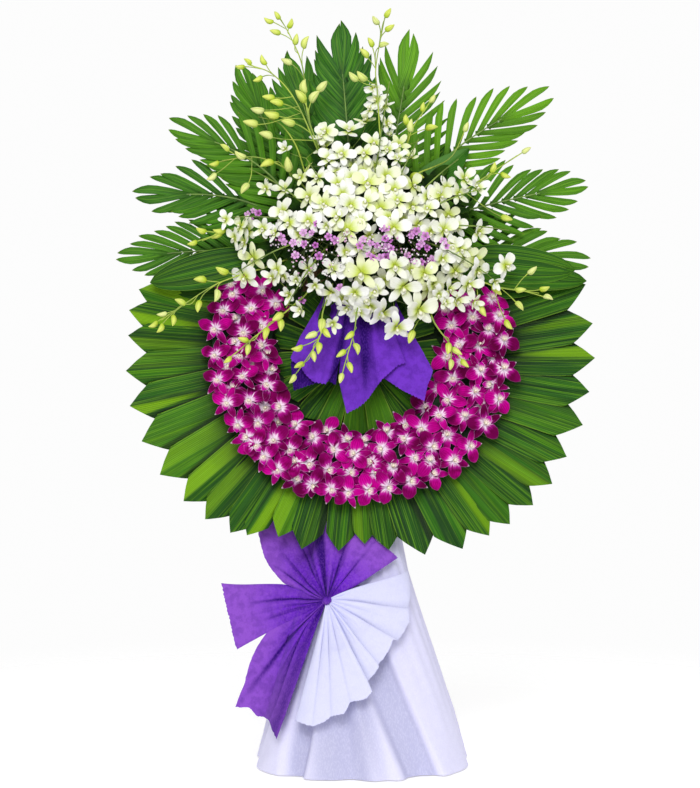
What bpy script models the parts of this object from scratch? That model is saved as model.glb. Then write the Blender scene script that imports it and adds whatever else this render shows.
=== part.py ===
"""A funeral wreath on a wooden tripod, with a cloth skirt and bow. Metres, +Z up, the front faces -Y."""

import math

import bmesh
import bpy
from mathutils import Matrix, Vector

# Clearance between pieces that rest on each other
GAP = 0.0003

# Wreath plane: the middle of the orchid ring on the board's front face, and the lean of the board
WREATH_MIDDLE = (0.0095, -0.054, 0.918)
LEAN = math.radians(8.0)

# Backing board and its two rails
BOARD_RADIUS = 0.34
BOARD_THICKNESS = 0.012
RAIL_THICKNESS = 0.018
RAIL_HEIGHT = 0.040
RAIL_LENGTH = 0.46
RAIL_HEIGHTS = {"upper_rail": 0.10, "lower_rail": -0.20}

# Tripod: battens, places of their feet on the floor, and the bolt at the top
LEG_WIDTH = 0.020
LEG_DEPTH = 0.028
FRONT_FOOT_X = 0.100
FRONT_TOP_X = 0.0215
BACK_LEG_WIDTH = 0.022
BACK_FOOT_Y = 0.235
LEG_TOP = 1.125
BOLT_HEIGHT = 1.100
BOLT_RADIUS = 0.004
BOLT_HEAD = (0.008, 0.005)
BOLT_NUT = (0.0075, 0.006)
BOLT_END = 0.002
CROSSBAR_Z = 0.160
CROSSBAR_LENGTH = 0.236
BRACE_WIDTH = 0.018
BRACE_HEIGHT = 0.030

# Collar: direction of each leaf from straight down, in degrees, and how far its tip reaches
COLLAR_TIPS = [
    (-110, 0.515), (-103, 0.512), (-94, 0.517), (-85, 0.520),
    (-76, 0.523), (-67, 0.520), (-58, 0.519), (-49, 0.512),
    (-41, 0.504), (-33, 0.490), (-25, 0.456), (-17, 0.457),
    (-9, 0.448), (0, 0.434), (9, 0.448), (18, 0.476),
    (27, 0.494), (35, 0.500), (42, 0.509), (49, 0.514),
    (56, 0.518), (63, 0.516), (71, 0.525), (80, 0.521),
    (89, 0.525), (98, 0.527), (106, 0.530), (113, 0.520),
]
LEAVES_IN_SECTOR = 4
LEAF_SPACING = 9.0
LEAF_NOTCH = 0.034
LEAF_THICKNESS = 0.0015
COLLAR_INNER = 0.050
COLLAR_RIDGE = 0.008
COLLAR_FLAT = 0.300
COLLAR_REACH = 0.500
COLLAR_RISE = 0.024
COLLAR_ROWS = (0.0, 0.28, 0.60, 0.84, 1.0)

# Foam horseshoe and the purple orchids pinned on it
RING_START = -116.0
RING_END = 110.0
FOAM_INNER = 0.195
FOAM_OUTER = 0.325
FOAM_BACK = 0.0130
FOAM_FRONT = 0.045
ORCHID_INNER = 0.172
ORCHID_OUTER = 0.348
ORCHID_HEIGHT = 0.032
ORCHID_BUNCHES = 6
ORCHID_WAVE = 0.006

# Foam block in its tray, above the middle
BLOCK_SIZE = (0.260, 0.080, 0.110)
BLOCK_MIDDLE = (0.0, -0.0465, 0.255)
TRAY_WALL = 0.003
TRAY_DEPTH = 0.018

# Palm fronds: where each leaves the block, its direction in degrees, midrib length, plane and sideways bend
FRONDS = [
    (-0.130, 0.222, 181, 0.375, 0, 0.00),
    (-0.130, 0.256, 163, 0.33, 1, 0.05),
    (-0.130, 0.288, 146, 0.33, 2, 0.04),
    (-0.085, 0.310, 127, 0.30, 0, 0.03),
    (-0.050, 0.310, 107, 0.31, 1, 0.02),
    (-0.015, 0.310, 92, 0.36, 2, 0.00),
    (0.035, 0.310, 74, 0.35, 0, -0.02),
    (0.085, 0.310, 43, 0.38, 1, -0.03),
    (0.130, 0.280, 17, 0.34, 2, -0.03),
    (0.130, 0.225, 0, 0.33, 0, -0.02),
]
FROND_PLANES = (0.030, 0.041, 0.051)
FROND_SOCKET = 0.030
FROND_BARE = 0.085
FROND_LEAFLETS = 7
FROND_ARCH = 0.036
FROND_REACH = 0.450
RACHIS_WIDTH = 0.007
RACHIS_TIP = 0.003
LEAFLET_LENGTHS = (0.130, 0.158, 0.135, 0.065)
LEAFLET_WIDTH = 0.019
LEAFLET_TIP = 0.003
LEAFLET_WIDEST = 0.35
LEAFLET_ROOT = 0.012
LEAFLET_THICKNESS = 0.0016
LEAFLET_SWEEP = math.radians(38.0)

# Broad leaves behind the white orchids: root, direction in degrees, length and width
BROAD_LEAVES = {
    "broad_leaf_left": (-0.1305, 0.240, 180, 0.24, 0.105),
    "broad_leaf_right": (0.090, 0.3116, 62, 0.20, 0.110),
}
BROAD_LEAF_PLANE = 0.0205
BROAD_LEAF_STALK = 0.0025
BROAD_LEAF_RISE = 0.008
BROAD_LEAF_CUP = 0.004

# White orchid blooms: middle of the mound, its reach every 30 degrees from the right, and its heights
MOUND_MIDDLE = (0.020, 0.240)
MOUND_REACH = (0.295, 0.240, 0.235, 0.265, 0.235, 0.225, 0.270, 0.235, 0.165, 0.170, 0.190, 0.200)
MOUND_BACK = 0.062
MOUND_FRONT = 0.190
MOUND_RIM = 0.012
MOUND_RIPPLE = 0.006
MOUND_SPOKES = 24
MOUND_RINGS = 5

# Filler flowers, each a low cushion sunk in the mound: middle (right, up, out) and half sizes
FILLER = {
    "filler_flowers_left": ((-0.175, 0.235, 0.125), (0.075, 0.030, 0.040)),
    "filler_flowers_right": ((0.120, 0.235, 0.165), (0.080, 0.030, 0.036)),
}

# Bud sprays: each stem runs through points (right, up, out), from inside the mound to its tip
SPRAYS = {
    "bud_sprays_top_left": [
        [(-0.030, 0.330, 0.110), (-0.070, 0.400, 0.125), (-0.110, 0.500, 0.130), (-0.124, 0.620, 0.125),
         (-0.150, 0.688, 0.125), (-0.174, 0.732, 0.128)],
        [(-0.030, 0.330, 0.110), (-0.085, 0.420, 0.140), (-0.138, 0.535, 0.147), (-0.189, 0.597, 0.145),
         (-0.245, 0.620, 0.145)],
    ],
    "bud_sprays_left": [
        [(-0.100, 0.330, 0.100), (-0.118, 0.385, 0.115), (-0.140, 0.445, 0.125), (-0.175, 0.490, 0.130),
         (-0.222, 0.505, 0.130)],
        [(-0.100, 0.330, 0.100), (-0.155, 0.385, 0.125), (-0.225, 0.412, 0.135), (-0.300, 0.404, 0.135)],
    ],
    "bud_sprays_side_left": [
        [(-0.150, 0.195, 0.090), (-0.215, 0.170, 0.100), (-0.270, 0.150, 0.108), (-0.328, 0.123, 0.112),
         (-0.430, 0.052, 0.115)],
        [(-0.150, 0.195, 0.090), (-0.205, 0.235, 0.095), (-0.260, 0.262, 0.100), (-0.345, 0.232, 0.100)],
    ],
    "bud_spray_hanging_left": [
        [(-0.100, 0.130, 0.095), (-0.147, 0.081, 0.112), (-0.208, 0.028, 0.125), (-0.270, -0.026, 0.127)],
    ],
    "bud_spray_hanging_middle": [
        [(-0.055, 0.140, 0.100), (-0.078, 0.070, 0.118), (-0.085, 0.010, 0.130), (-0.132, -0.064, 0.128)],
    ],
    "bud_spray_hanging_right": [
        [(0.010, 0.130, 0.110), (-0.004, 0.068, 0.135), (-0.010, 0.020, 0.145), (-0.033, -0.060, 0.145)],
    ],
    "bud_spray_top": [
        [(0.045, 0.370, 0.110), (0.052, 0.430, 0.130), (0.043, 0.540, 0.135), (0.039, 0.620, 0.130),
         (0.060, 0.741, 0.127)],
    ],
    "bud_sprays_right_top": [
        [(0.085, 0.350, 0.110), (0.094, 0.410, 0.120), (0.120, 0.480, 0.130), (0.152, 0.528, 0.130)],
        [(0.085, 0.350, 0.110), (0.150, 0.390, 0.122), (0.202, 0.412, 0.130), (0.232, 0.465, 0.130)],
        [(0.085, 0.350, 0.110), (0.160, 0.335, 0.128), (0.230, 0.340, 0.132), (0.350, 0.418, 0.128)],
    ],
    "bud_sprays_right": [
        [(0.160, 0.135, 0.090), (0.250, 0.142, 0.105), (0.310, 0.125, 0.110), (0.395, 0.113, 0.108)],
        [(0.160, 0.135, 0.090), (0.160, 0.060, 0.112), (0.195, 0.002, 0.125), (0.225, -0.040, 0.125)],
    ],
}
STEM_RADIUS = 0.0016
STEM_TIP = 0.0008
BUD_LENGTH = 0.040
BUD_RADIUS = 0.0075
BUDS_PER_STEM = 6
BUD_SPACING = 0.028
BUD_TIP_SIZE = 0.55
BUD_TILT = math.radians(50.0)
SOCKET_POINTS = 6

# Violet swags under the white orchids: each fan's spread in degrees from straight down, its reach and plane
SWAG_TOP = (0.004, 0.1994)
SWAG_RISE = 0.25
SWAG_FLAT = 0.110
SWAG_PINCH = 0.06
SWAG_PLEAT = 0.005
SWAGS = {
    "swag_left": (-43, -14, (0.200, 0.335, 0.290), -0.030, 0.046),
    "swag_middle": (-12, 19, (0.330, 0.360, 0.270), 0.000, 0.048),
    "swag_right": (21, 40, (0.350, 0.330, 0.262), 0.030, 0.046),
}
CLOTH_THICKNESS = 0.0018

# Bow on the skirt: the knot, then each lobe's spread in degrees from the right, its reach and its pleats
KNOT_TURN = 5 / 16
KNOT_Z = 0.374
KNOT_RADIUS = 0.016
LOBE_LIFT = 0.012
LOBE_LEAVE = 0.100
LOBE_PLEAT = 0.0045
LOBES = {
    "bow_lobe_upper": (34, 150, (0.175, 0.150, 0.165, 0.205, 0.150), 5),
    "bow_lobe_left": (168, 212, (0.235, 0.225, 0.215, 0.225), 3),
    "bow_lobe_lower": (225, 251, (0.295, 0.300, 0.315), 3),
    "bow_fan_white": (256, 379, (0.258, 0.265, 0.205, 0.172, 0.172, 0.178, 0.188, 0.205), 9),
}

# Skirt: at each height its centre, half width, front, back, widest place, squareness and pleat depth
SKIRT_ROWS = [
    (0.550, 0.000, 0.088, -0.0905, 0.1405, 0.000, 4.0, 0.0015),
    (0.510, 0.001, 0.092, -0.0960, 0.1500, -0.006, 3.9, 0.0020),
    (0.430, 0.002, 0.107, -0.1180, 0.1680, -0.016, 3.6, 0.0032),
    (0.330, 0.004, 0.137, -0.1490, 0.1900, -0.030, 3.3, 0.0046),
    (0.220, 0.006, 0.171, -0.1850, 0.2140, -0.045, 2.9, 0.0060),
    (0.110, 0.008, 0.206, -0.2230, 0.2390, -0.060, 2.6, 0.0075),
    (0.002, 0.010, 0.236, -0.2600, 0.2600, -0.075, 2.3, 0.0090),
]
SKIRT_PLEATS = 16
TIE_Z = 0.538
TIE_RADIUS = 0.003

# Colour, roughness and metallic value of each finish
FINISHES = {
    "timber": ((0.62, 0.45, 0.28), 0.7, 0.0),
    "board": ((0.66, 0.52, 0.34), 0.7, 0.0),
    "steel": ((0.55, 0.56, 0.58), 0.35, 1.0),
    "foam": ((0.12, 0.26, 0.12), 0.9, 0.0),
    "tray": ((0.05, 0.16, 0.06), 0.5, 0.0),
    "collar_leaf": ((0.07, 0.23, 0.03), 0.4, 0.0),
    "palm_leaf": ((0.06, 0.26, 0.05), 0.45, 0.0),
    "broad_leaf": ((0.05, 0.19, 0.03), 0.4, 0.0),
    "purple_petal": ((0.42, 0.01, 0.36), 0.5, 0.0),
    "white_petal": ((0.88, 0.90, 0.82), 0.5, 0.0),
    "filler_flower": ((0.62, 0.42, 0.62), 0.6, 0.0),
    "bud": ((0.55, 0.66, 0.20), 0.5, 0.0),
    "violet_cloth": ((0.12, 0.03, 0.45), 0.8, 0.0),
    "white_cloth": ((0.80, 0.80, 0.92), 0.8, 0.0),
    "cord": ((0.80, 0.78, 0.70), 0.8, 0.0),
}


def clear_scene():
    for thing in list(bpy.data.objects):
        bpy.data.objects.remove(thing, do_unlink=True)


def new_collection(name):
    group = bpy.data.collections.new(name)
    bpy.context.scene.collection.children.link(group)
    return group


clear_scene()
WREATH = new_collection("funeral_wreath")
CUTTERS = new_collection("cutters")
MATERIALS = {}


def finish(slot):
    """The Principled material of a finish, made once."""
    if slot not in MATERIALS:
        colour, roughness, metallic = FINISHES[slot]
        material = bpy.data.materials.new(slot)
        material.use_nodes = True
        shader = material.node_tree.nodes["Principled BSDF"]
        shader.inputs["Base Color"].default_value = (*colour, 1.0)
        shader.inputs["Roughness"].default_value = roughness
        shader.inputs["Metallic"].default_value = metallic
        MATERIALS[slot] = material
    return MATERIALS[slot]


def wreath_plane():
    """The empty that leans back with the board: x to the right, y to the back, z up the board."""
    empty = bpy.data.objects.new("wreath_plane", None)
    empty.location = WREATH_MIDDLE
    empty.rotation_euler = (-LEAN, 0.0, 0.0)
    WREATH.objects.link(empty)
    return empty


PLANE = wreath_plane()


def add_object(name, mesh, slot, parent=None):
    thing = bpy.data.objects.new(name, mesh)
    thing.parent = parent
    WREATH.objects.link(thing)
    mesh.materials.append(finish(slot))
    return thing


def object_from(bm, name, slot, parent=None):
    bmesh.ops.recalc_face_normals(bm, faces=bm.faces)
    mesh = bpy.data.meshes.new(name)
    bm.to_mesh(mesh)
    bm.free()
    return add_object(name, mesh, slot, parent)


def cutter_from(bm, name, parent=None):
    """A hidden object that cuts or joins another one."""
    bmesh.ops.recalc_face_normals(bm, faces=bm.faces)
    mesh = bpy.data.meshes.new(name)
    bm.to_mesh(mesh)
    bm.free()
    thing = bpy.data.objects.new(name, mesh)
    thing.parent = parent
    thing.hide_render = True
    thing.display_type = "WIRE"
    CUTTERS.objects.link(thing)
    return thing


def boolean(thing, other, operation):
    modifier = thing.modifiers.new(operation.lower() + "_" + other.name, "BOOLEAN")
    modifier.operation = operation
    modifier.object = other
    modifier.solver = "EXACT"
    return modifier


def smooth(thing, degrees=35.0):
    thing.data.shade_smooth()
    thing.data.set_sharp_from_angle(angle=math.radians(degrees))


def add_box(bm, low, high):
    """A box between two corners."""
    middle = [(a + b) / 2 for a, b in zip(low, high)]
    size = [b - a for a, b in zip(low, high)]
    place = Matrix.Translation(middle) @ Matrix.Diagonal((*size, 1.0))
    return bmesh.ops.create_cube(bm, size=1.0, matrix=place)["verts"]


def add_rod(bm, start, end, radius, sides=12):
    """A straight round rod between two points."""
    start, end = Vector(start), Vector(end)
    along = end - start
    turn = Vector((0, 0, 1)).rotation_difference(along).to_matrix().to_4x4()
    place = Matrix.Translation((start + end) / 2) @ turn
    bmesh.ops.create_cone(
        bm, cap_ends=True, segments=sides, radius1=radius, radius2=radius, depth=along.length, matrix=place
    )


def add_sheet(name, rows, thickness, slot, parent=None, closed=False):
    """An open surface through rows of points, with a thickness; closed joins each row's ends."""
    bm = bmesh.new()
    grid = [[bm.verts.new(point) for point in row] for row in rows]
    columns = len(grid[0])
    for low, high in zip(grid, grid[1:]):
        for i in range(columns if closed else columns - 1):
            j = (i + 1) % columns
            bm.faces.new((low[i], low[j], high[j], high[i]))
    sheet = object_from(bm, name, slot, parent)
    wall = sheet.modifiers.new("thickness", "SOLIDIFY")
    wall.thickness = thickness
    wall.offset = 0.0
    smooth(sheet)
    return sheet


def between(values, share):
    """A value on the smooth curve through evenly spaced values, at a share from 0 to 1."""
    place = min(max(share, 0.0), 1.0) * (len(values) - 1)
    index = min(int(place), len(values) - 2)
    t = place - index
    ease = t * t * (3 - 2 * t)
    return values[index] * (1 - ease) + values[index + 1] * ease


def smooth_path(points, steps):
    """Points on a Catmull-Rom curve through the given ones, with a number of steps to each interval."""
    points = [Vector(p) for p in points]
    ends = [2 * points[0] - points[1], *points, 2 * points[-1] - points[-2]]
    path = []
    for a, b, c, d in zip(ends, ends[1:], ends[2:], ends[3:]):
        for k in range(steps):
            t = k / steps
            square = (2 * a - 5 * b + 4 * c - d) * t**2
            cube = (3 * b - a - 3 * c + d) * t**3
            path.append(0.5 * (2 * b + (c - a) * t + square + cube))
    path.append(points[-1])
    return path


def tube_mesh(name, paths, radii, bevel=0):
    """A mesh of tubes along paths, tapering from the first radius to the last, with welded caps."""
    curve = bpy.data.curves.new(name, "CURVE")
    curve.dimensions = "3D"
    curve.bevel_depth = 1.0
    curve.bevel_resolution = bevel
    curve.use_fill_caps = True
    for path in paths:
        spline = curve.splines.new("POLY")
        spline.points.add(len(path) - 1)
        for i, (point, place) in enumerate(zip(spline.points, path)):
            share = i / (len(path) - 1)
            point.co = (*place, 1.0)
            point.radius = radii[0] + (radii[1] - radii[0]) * share
    thing = bpy.data.objects.new(name, curve)
    WREATH.objects.link(thing)
    bpy.context.view_layer.update()
    graph = bpy.context.evaluated_depsgraph_get()
    mesh = bpy.data.meshes.new_from_object(thing.evaluated_get(graph))
    bpy.data.objects.remove(thing, do_unlink=True)
    bpy.data.curves.remove(curve)
    bm = bmesh.new()
    bm.from_mesh(mesh)
    bmesh.ops.remove_doubles(bm, verts=bm.verts, dist=0.00001)
    bpy.data.meshes.remove(mesh)
    return bm


def leg_plane(z, out):
    """The y, at height z, of the plane that lies a distance out behind the board's front face."""
    return WREATH_MIDDLE[1] + (z - WREATH_MIDDLE[2]) * math.tan(LEAN) + out / math.cos(LEAN)


LEG_FRONT = BOARD_THICKNESS + RAIL_THICKNESS + 2 * GAP
LEG_BACK = LEG_FRONT + LEG_DEPTH
STAND_X = WREATH_MIDDLE[0]


def slanted_batten(name, foot, top, half_width, slot="timber"):
    """A batten with level ends: foot and top are (x, y of the front, y of the back, z)."""
    bm = bmesh.new()
    for vert in add_box(bm, (-1, -1, -1), (1, 1, 1)):
        x, front, back, z = top if vert.co.z > 0 else foot
        vert.co = (x + half_width * vert.co.x, back if vert.co.y > 0 else front, z)
    return object_from(bm, name, slot)


def front_leg(name, side):
    foot = (STAND_X + side * FRONT_FOOT_X, leg_plane(0.0, LEG_FRONT), leg_plane(0.0, LEG_BACK), 0.0)
    top = (STAND_X + side * FRONT_TOP_X, leg_plane(LEG_TOP, LEG_FRONT), leg_plane(LEG_TOP, LEG_BACK), LEG_TOP)
    return slanted_batten(name, foot, top, LEG_WIDTH / 2)


def bolt_y():
    return (leg_plane(BOLT_HEIGHT, LEG_FRONT) + leg_plane(BOLT_HEIGHT, LEG_BACK)) / 2


def back_leg_y(z):
    """The y of the back leg's middle at height z."""
    return BACK_FOOT_Y + (bolt_y() - BACK_FOOT_Y) * z / BOLT_HEIGHT


def back_leg():
    half = LEG_DEPTH / 2
    foot = (STAND_X, BACK_FOOT_Y - half, BACK_FOOT_Y + half, 0.0)
    top = (STAND_X, back_leg_y(LEG_TOP) - half, back_leg_y(LEG_TOP) + half, LEG_TOP)
    return slanted_batten("back_leg", foot, top, BACK_LEG_WIDTH / 2)


def top_bolt():
    """The bolt through the three legs, with its head and nut outside them."""
    outside = FRONT_TOP_X + (FRONT_FOOT_X - FRONT_TOP_X) * (1 - BOLT_HEIGHT / LEG_TOP) + LEG_WIDTH / 2
    head_from = outside + 4 * GAP
    reach = head_from + BOLT_NUT[1] + BOLT_END
    shank = bmesh.new()
    add_rod(shank, (-reach, 0, 0), (reach, 0, 0), BOLT_RADIUS)
    bolt = object_from(shank, "top_bolt", "steel")
    ends = bmesh.new()
    add_rod(ends, (-head_from - BOLT_HEAD[1], 0, 0), (-head_from, 0, 0), BOLT_HEAD[0], 16)
    add_rod(ends, (head_from, 0, 0), (head_from + BOLT_NUT[1], 0, 0), BOLT_NUT[0], 6)
    head_and_nut = cutter_from(ends, "bolt_head_and_nut", bolt)
    bolt.location = (STAND_X, bolt_y(), BOLT_HEIGHT)
    boolean(bolt, head_and_nut, "UNION")
    return bolt


def stand():
    legs = [front_leg("front_leg_left", -1), front_leg("front_leg_right", 1), back_leg()]
    top_bolt()
    hole = bmesh.new()
    through = FRONT_TOP_X + 2 * LEG_WIDTH
    add_rod(hole, (-through, 0, 0), (through, 0, 0), BOLT_RADIUS + GAP, 16)
    cutter = cutter_from(hole, "bolt_hole")
    cutter.location = (STAND_X, bolt_y(), BOLT_HEIGHT)
    for leg in legs:
        boolean(leg, cutter, "DIFFERENCE")
    bar = bmesh.new()
    up = (CROSSBAR_Z - WREATH_MIDDLE[2]) / math.cos(LEAN)
    bar_front = LEG_BACK + GAP
    bar_back = bar_front + RAIL_THICKNESS
    half = (CROSSBAR_LENGTH / 2, RAIL_HEIGHT / 2)
    add_box(bar, (-half[0], bar_front, up - half[1]), (half[0], bar_back, up + half[1]))
    object_from(bar, "lower_crossbar", "timber", PLANE)
    brace = bmesh.new()
    for vert in add_box(brace, (-1, -1, -1), (1, 1, 1)):
        z = CROSSBAR_Z + vert.co.z * BRACE_HEIGHT / 2
        front = leg_plane(z, bar_back + GAP)
        back = back_leg_y(z) - LEG_DEPTH / 2 - GAP
        vert.co = (STAND_X + vert.co.x * BRACE_WIDTH / 2, back if vert.co.y > 0 else front, z)
    object_from(brace, "back_brace", "timber")


def backing_board():
    bm = bmesh.new()
    add_rod(bm, (0, GAP / 10, 0), (0, BOARD_THICKNESS, 0), BOARD_RADIUS, 64)
    object_from(bm, "backing_board", "board", PLANE)
    front = BOARD_THICKNESS + GAP
    back = front + RAIL_THICKNESS
    half = (RAIL_LENGTH / 2, RAIL_HEIGHT / 2)
    for name, up in RAIL_HEIGHTS.items():
        bm = bmesh.new()
        add_box(bm, (-half[0], front, up - half[1]), (half[0], back, up + half[1]))
        object_from(bm, name, "timber", PLANE)


def around(degrees, reach, out):
    """A point on the wreath: degrees from straight down, reach from the middle, distance out in front."""
    angle = math.radians(degrees)
    return Vector((reach * math.sin(angle), -out, -reach * math.cos(angle)))


def collar_height(reach, ridge):
    """How far a collar leaf stands out: flat on the board, pleated, and rising towards its tip."""
    rise = max(reach - COLLAR_FLAT, 0.0) / (COLLAR_REACH - COLLAR_FLAT)
    pleat = COLLAR_RIDGE * min(reach / FOAM_INNER, 1.0)
    return LEAF_THICKNESS / 2 + GAP + COLLAR_RISE * rise**1.5 + pleat * ridge


def collar_edges():
    """The notches between leaves: half way between tips, and half a spacing past the end ones."""
    first, last = COLLAR_TIPS[0], COLLAR_TIPS[-1]
    edges = [(first[0] - LEAF_SPACING / 2, first[1] - LEAF_NOTCH)]
    for low, high in zip(COLLAR_TIPS, COLLAR_TIPS[1:]):
        edges.append(((low[0] + high[0]) / 2, (low[1] + high[1]) / 2 - LEAF_NOTCH))
    edges.append((last[0] + LEAF_SPACING / 2, last[1] - LEAF_NOTCH))
    return edges


def collar_sector(name, edges, tips):
    """Overlapping leaves as one pleated fan with a pointed tip on each leaf."""
    columns = []
    for (degrees, reach), (tip_degrees, tip_reach) in zip(edges, tips):
        columns.append((degrees, reach, 0.0))
        columns.append((tip_degrees, tip_reach, 1.0))
    columns.append((*edges[-1], 0.0))
    rows = []
    for share in COLLAR_ROWS:
        row = []
        for i, (degrees, reach, ridge) in enumerate(columns):
            here = COLLAR_INNER + (reach - COLLAR_INNER) * share
            inset = math.degrees(2 * GAP / here)
            if i == 0:
                degrees += inset
            if i == len(columns) - 1:
                degrees -= inset
            row.append(around(degrees, here, collar_height(here, ridge)))
        rows.append(row)
    add_sheet(name, rows, LEAF_THICKNESS, "collar_leaf", PLANE)


def collar():
    edges = collar_edges()
    for number, i in enumerate(range(0, len(COLLAR_TIPS), LEAVES_IN_SECTOR)):
        end = i + LEAVES_IN_SECTOR
        collar_sector(f"collar_leaves_{number + 1}", edges[i : end + 1], COLLAR_TIPS[i:end])


def arc_band(name, start, end, profile, steps, slot):
    """A closed band along the ring; profile gives the (reach, out) points of its section."""
    bm = bmesh.new()
    rings = []
    for i in range(steps + 1):
        share = i / steps
        degrees = start + (end - start) * share
        rings.append([bm.verts.new(around(degrees, reach, out)) for reach, out in profile(share)])
    for low, high in zip(rings, rings[1:]):
        for i in range(len(low)):
            j = (i + 1) % len(low)
            bm.faces.new((low[i], low[j], high[j], high[i]))
    bm.faces.new(rings[0])
    bm.faces.new(list(reversed(rings[-1])))
    band = object_from(bm, name, slot, PLANE)
    smooth(band)
    return band


def foam_profile(_share):
    edge = 0.008
    return [
        (FOAM_INNER, FOAM_BACK),
        (FOAM_OUTER, FOAM_BACK),
        (FOAM_OUTER, FOAM_FRONT - edge),
        (FOAM_OUTER - edge, FOAM_FRONT),
        (FOAM_INNER + edge, FOAM_FRONT),
        (FOAM_INNER, FOAM_FRONT - edge),
    ]


def bloom_profile(share):
    """Heads pinned side by side: a low dome whose edges run in and out from head to head."""
    wave = ORCHID_WAVE * math.cos(share * 3 * 2 * math.pi)
    back = FOAM_FRONT + GAP
    rim = back + ORCHID_WAVE
    shoulder = back + ORCHID_HEIGHT * 0.75 - wave / 2
    middle = (ORCHID_INNER + ORCHID_OUTER) / 2
    round_off = 0.020
    return [
        (FOAM_INNER + ORCHID_WAVE, back),
        (FOAM_OUTER - ORCHID_WAVE, back),
        (ORCHID_OUTER + wave, rim),
        (ORCHID_OUTER - round_off, shoulder),
        (middle, back + ORCHID_HEIGHT + wave / 2),
        (ORCHID_INNER + round_off, shoulder),
        (ORCHID_INNER - wave, rim),
    ]


def orchid_ring():
    arc_band("foam_horseshoe", RING_START, RING_END, foam_profile, 32, "foam")
    step = (RING_END - RING_START) / ORCHID_BUNCHES
    between_bunches = math.degrees(GAP / ORCHID_INNER)
    for i in range(ORCHID_BUNCHES):
        start = RING_START + i * step + between_bunches
        end = RING_START + (i + 1) * step - between_bunches
        arc_band(f"purple_orchids_{i + 1}", start, end, bloom_profile, 12, "purple_petal")


def frond_points(frond, steps=12):
    """Points along a midrib, straight in its socket and then bending sideways and arching forwards."""
    right, up, degrees, length, plane, bend = frond
    angle = math.radians(degrees)
    along = Vector((math.cos(angle), 0, math.sin(angle)))
    side = Vector((-math.sin(angle), 0, math.cos(angle)))
    root = Vector((right, -FROND_PLANES[plane], up))
    points = [root - along * FROND_SOCKET, root]
    for i in range(1, steps + 1):
        reach = length * i / steps
        swing = (reach / length) ** 2
        arch = FROND_ARCH * (reach / FROND_REACH) ** 2
        points.append(root + along * reach - side * bend * swing - Vector((0, arch, 0)))
    return points


def frond_stations(frond):
    """Where the midrib's section changes: each place, and whether a leaflet's root starts there."""
    length = frond[3]
    leafy = length - FROND_BARE
    pitch = leafy / FROND_LEAFLETS
    reaches = []
    for i in range(FROND_LEAFLETS):
        middle = FROND_BARE + pitch * (i + 0.5)
        reaches += [(middle - LEAFLET_ROOT / 2, True), (middle + LEAFLET_ROOT / 2, False)]
    return reaches


def point_along(points, reach):
    """The point at a distance past the socket on a polyline whose second point is the socket's mouth."""
    left = reach
    for a, b in zip(points[1:], points[2:]):
        step = (b - a).length
        if left <= step:
            return a + (b - a) * (left / step)
        left -= step
    return points[-1]


def palm_frond(name, frond):
    """A midrib of square section with a leaflet drawn out of its side at each station."""
    points = frond_points(frond)
    length = frond[3]
    stations = [(-FROND_SOCKET, False), (0.0, False), *frond_stations(frond), (length, False)]
    bm = bmesh.new()
    rings = []
    centres = []
    for reach, _ in stations:
        centre = points[0] if reach < 0 else point_along(points, reach)
        centres.append(centre)
    for i, (reach, _) in enumerate(stations):
        ahead = centres[min(i + 1, len(centres) - 1)] - centres[max(i - 1, 0)]
        ahead.normalize()
        across = ahead.cross(Vector((0, 1, 0))).normalized()
        front = across.cross(ahead).normalized()
        half = (RACHIS_WIDTH + (RACHIS_TIP - RACHIS_WIDTH) * max(reach, 0.0) / length) / 2
        corners = [(-1, -1), (1, -1), (1, 1), (-1, 1)]
        rings.append([bm.verts.new(centres[i] + across * half * a + front * half * b) for a, b in corners])
    roots = []
    for i, (low, high) in enumerate(zip(rings, rings[1:])):
        for k in range(4):
            face = bm.faces.new((low[k], low[(k + 1) % 4], high[(k + 1) % 4], high[k]))
            if stations[i][1] and k in (1, 3):
                roots.append((face, i, 1 if k == 1 else -1))
    bm.faces.new(rings[0])
    bm.faces.new(list(reversed(rings[-1])))
    bmesh.ops.recalc_face_normals(bm, faces=bm.faces)
    for face, i, side in roots:
        ahead = (centres[i + 1] - centres[i]).normalized()
        across = ahead.cross(Vector((0, 1, 0))).normalized() * side
        way = (ahead * math.cos(LEAFLET_SWEEP) + across * math.sin(LEAFLET_SWEEP)).normalized()
        share = (stations[i][0] - FROND_BARE) / (length - FROND_BARE)
        draw_leaflet(bm, face, face.calc_center_median(), way, between(LEAFLET_LENGTHS, share))
    return object_from(bm, name, "palm_leaf", PLANE)


def draw_leaflet(bm, face, root, way, reach):
    """Draws a face out into a flat blade: widest at a third of its length, pointed at its end."""
    flat = Vector((0, 1, 0))
    across = way.cross(flat).normalized()
    for share, width in ((LEAFLET_WIDEST, LEAFLET_WIDTH), (1.0, LEAFLET_TIP)):
        face = bmesh.ops.extrude_discrete_faces(bm, faces=[face])["faces"][0]
        centre = face.calc_center_median()
        middle = root + way * reach * share
        offsets = [vert.co - centre for vert in face.verts]
        for vert, offset in zip(face.verts, offsets):
            sideways = math.copysign(width / 2, offset.dot(across))
            outwards = math.copysign(LEAFLET_THICKNESS / 2, offset.dot(flat))
            vert.co = middle + across * sideways + flat * outwards


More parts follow.
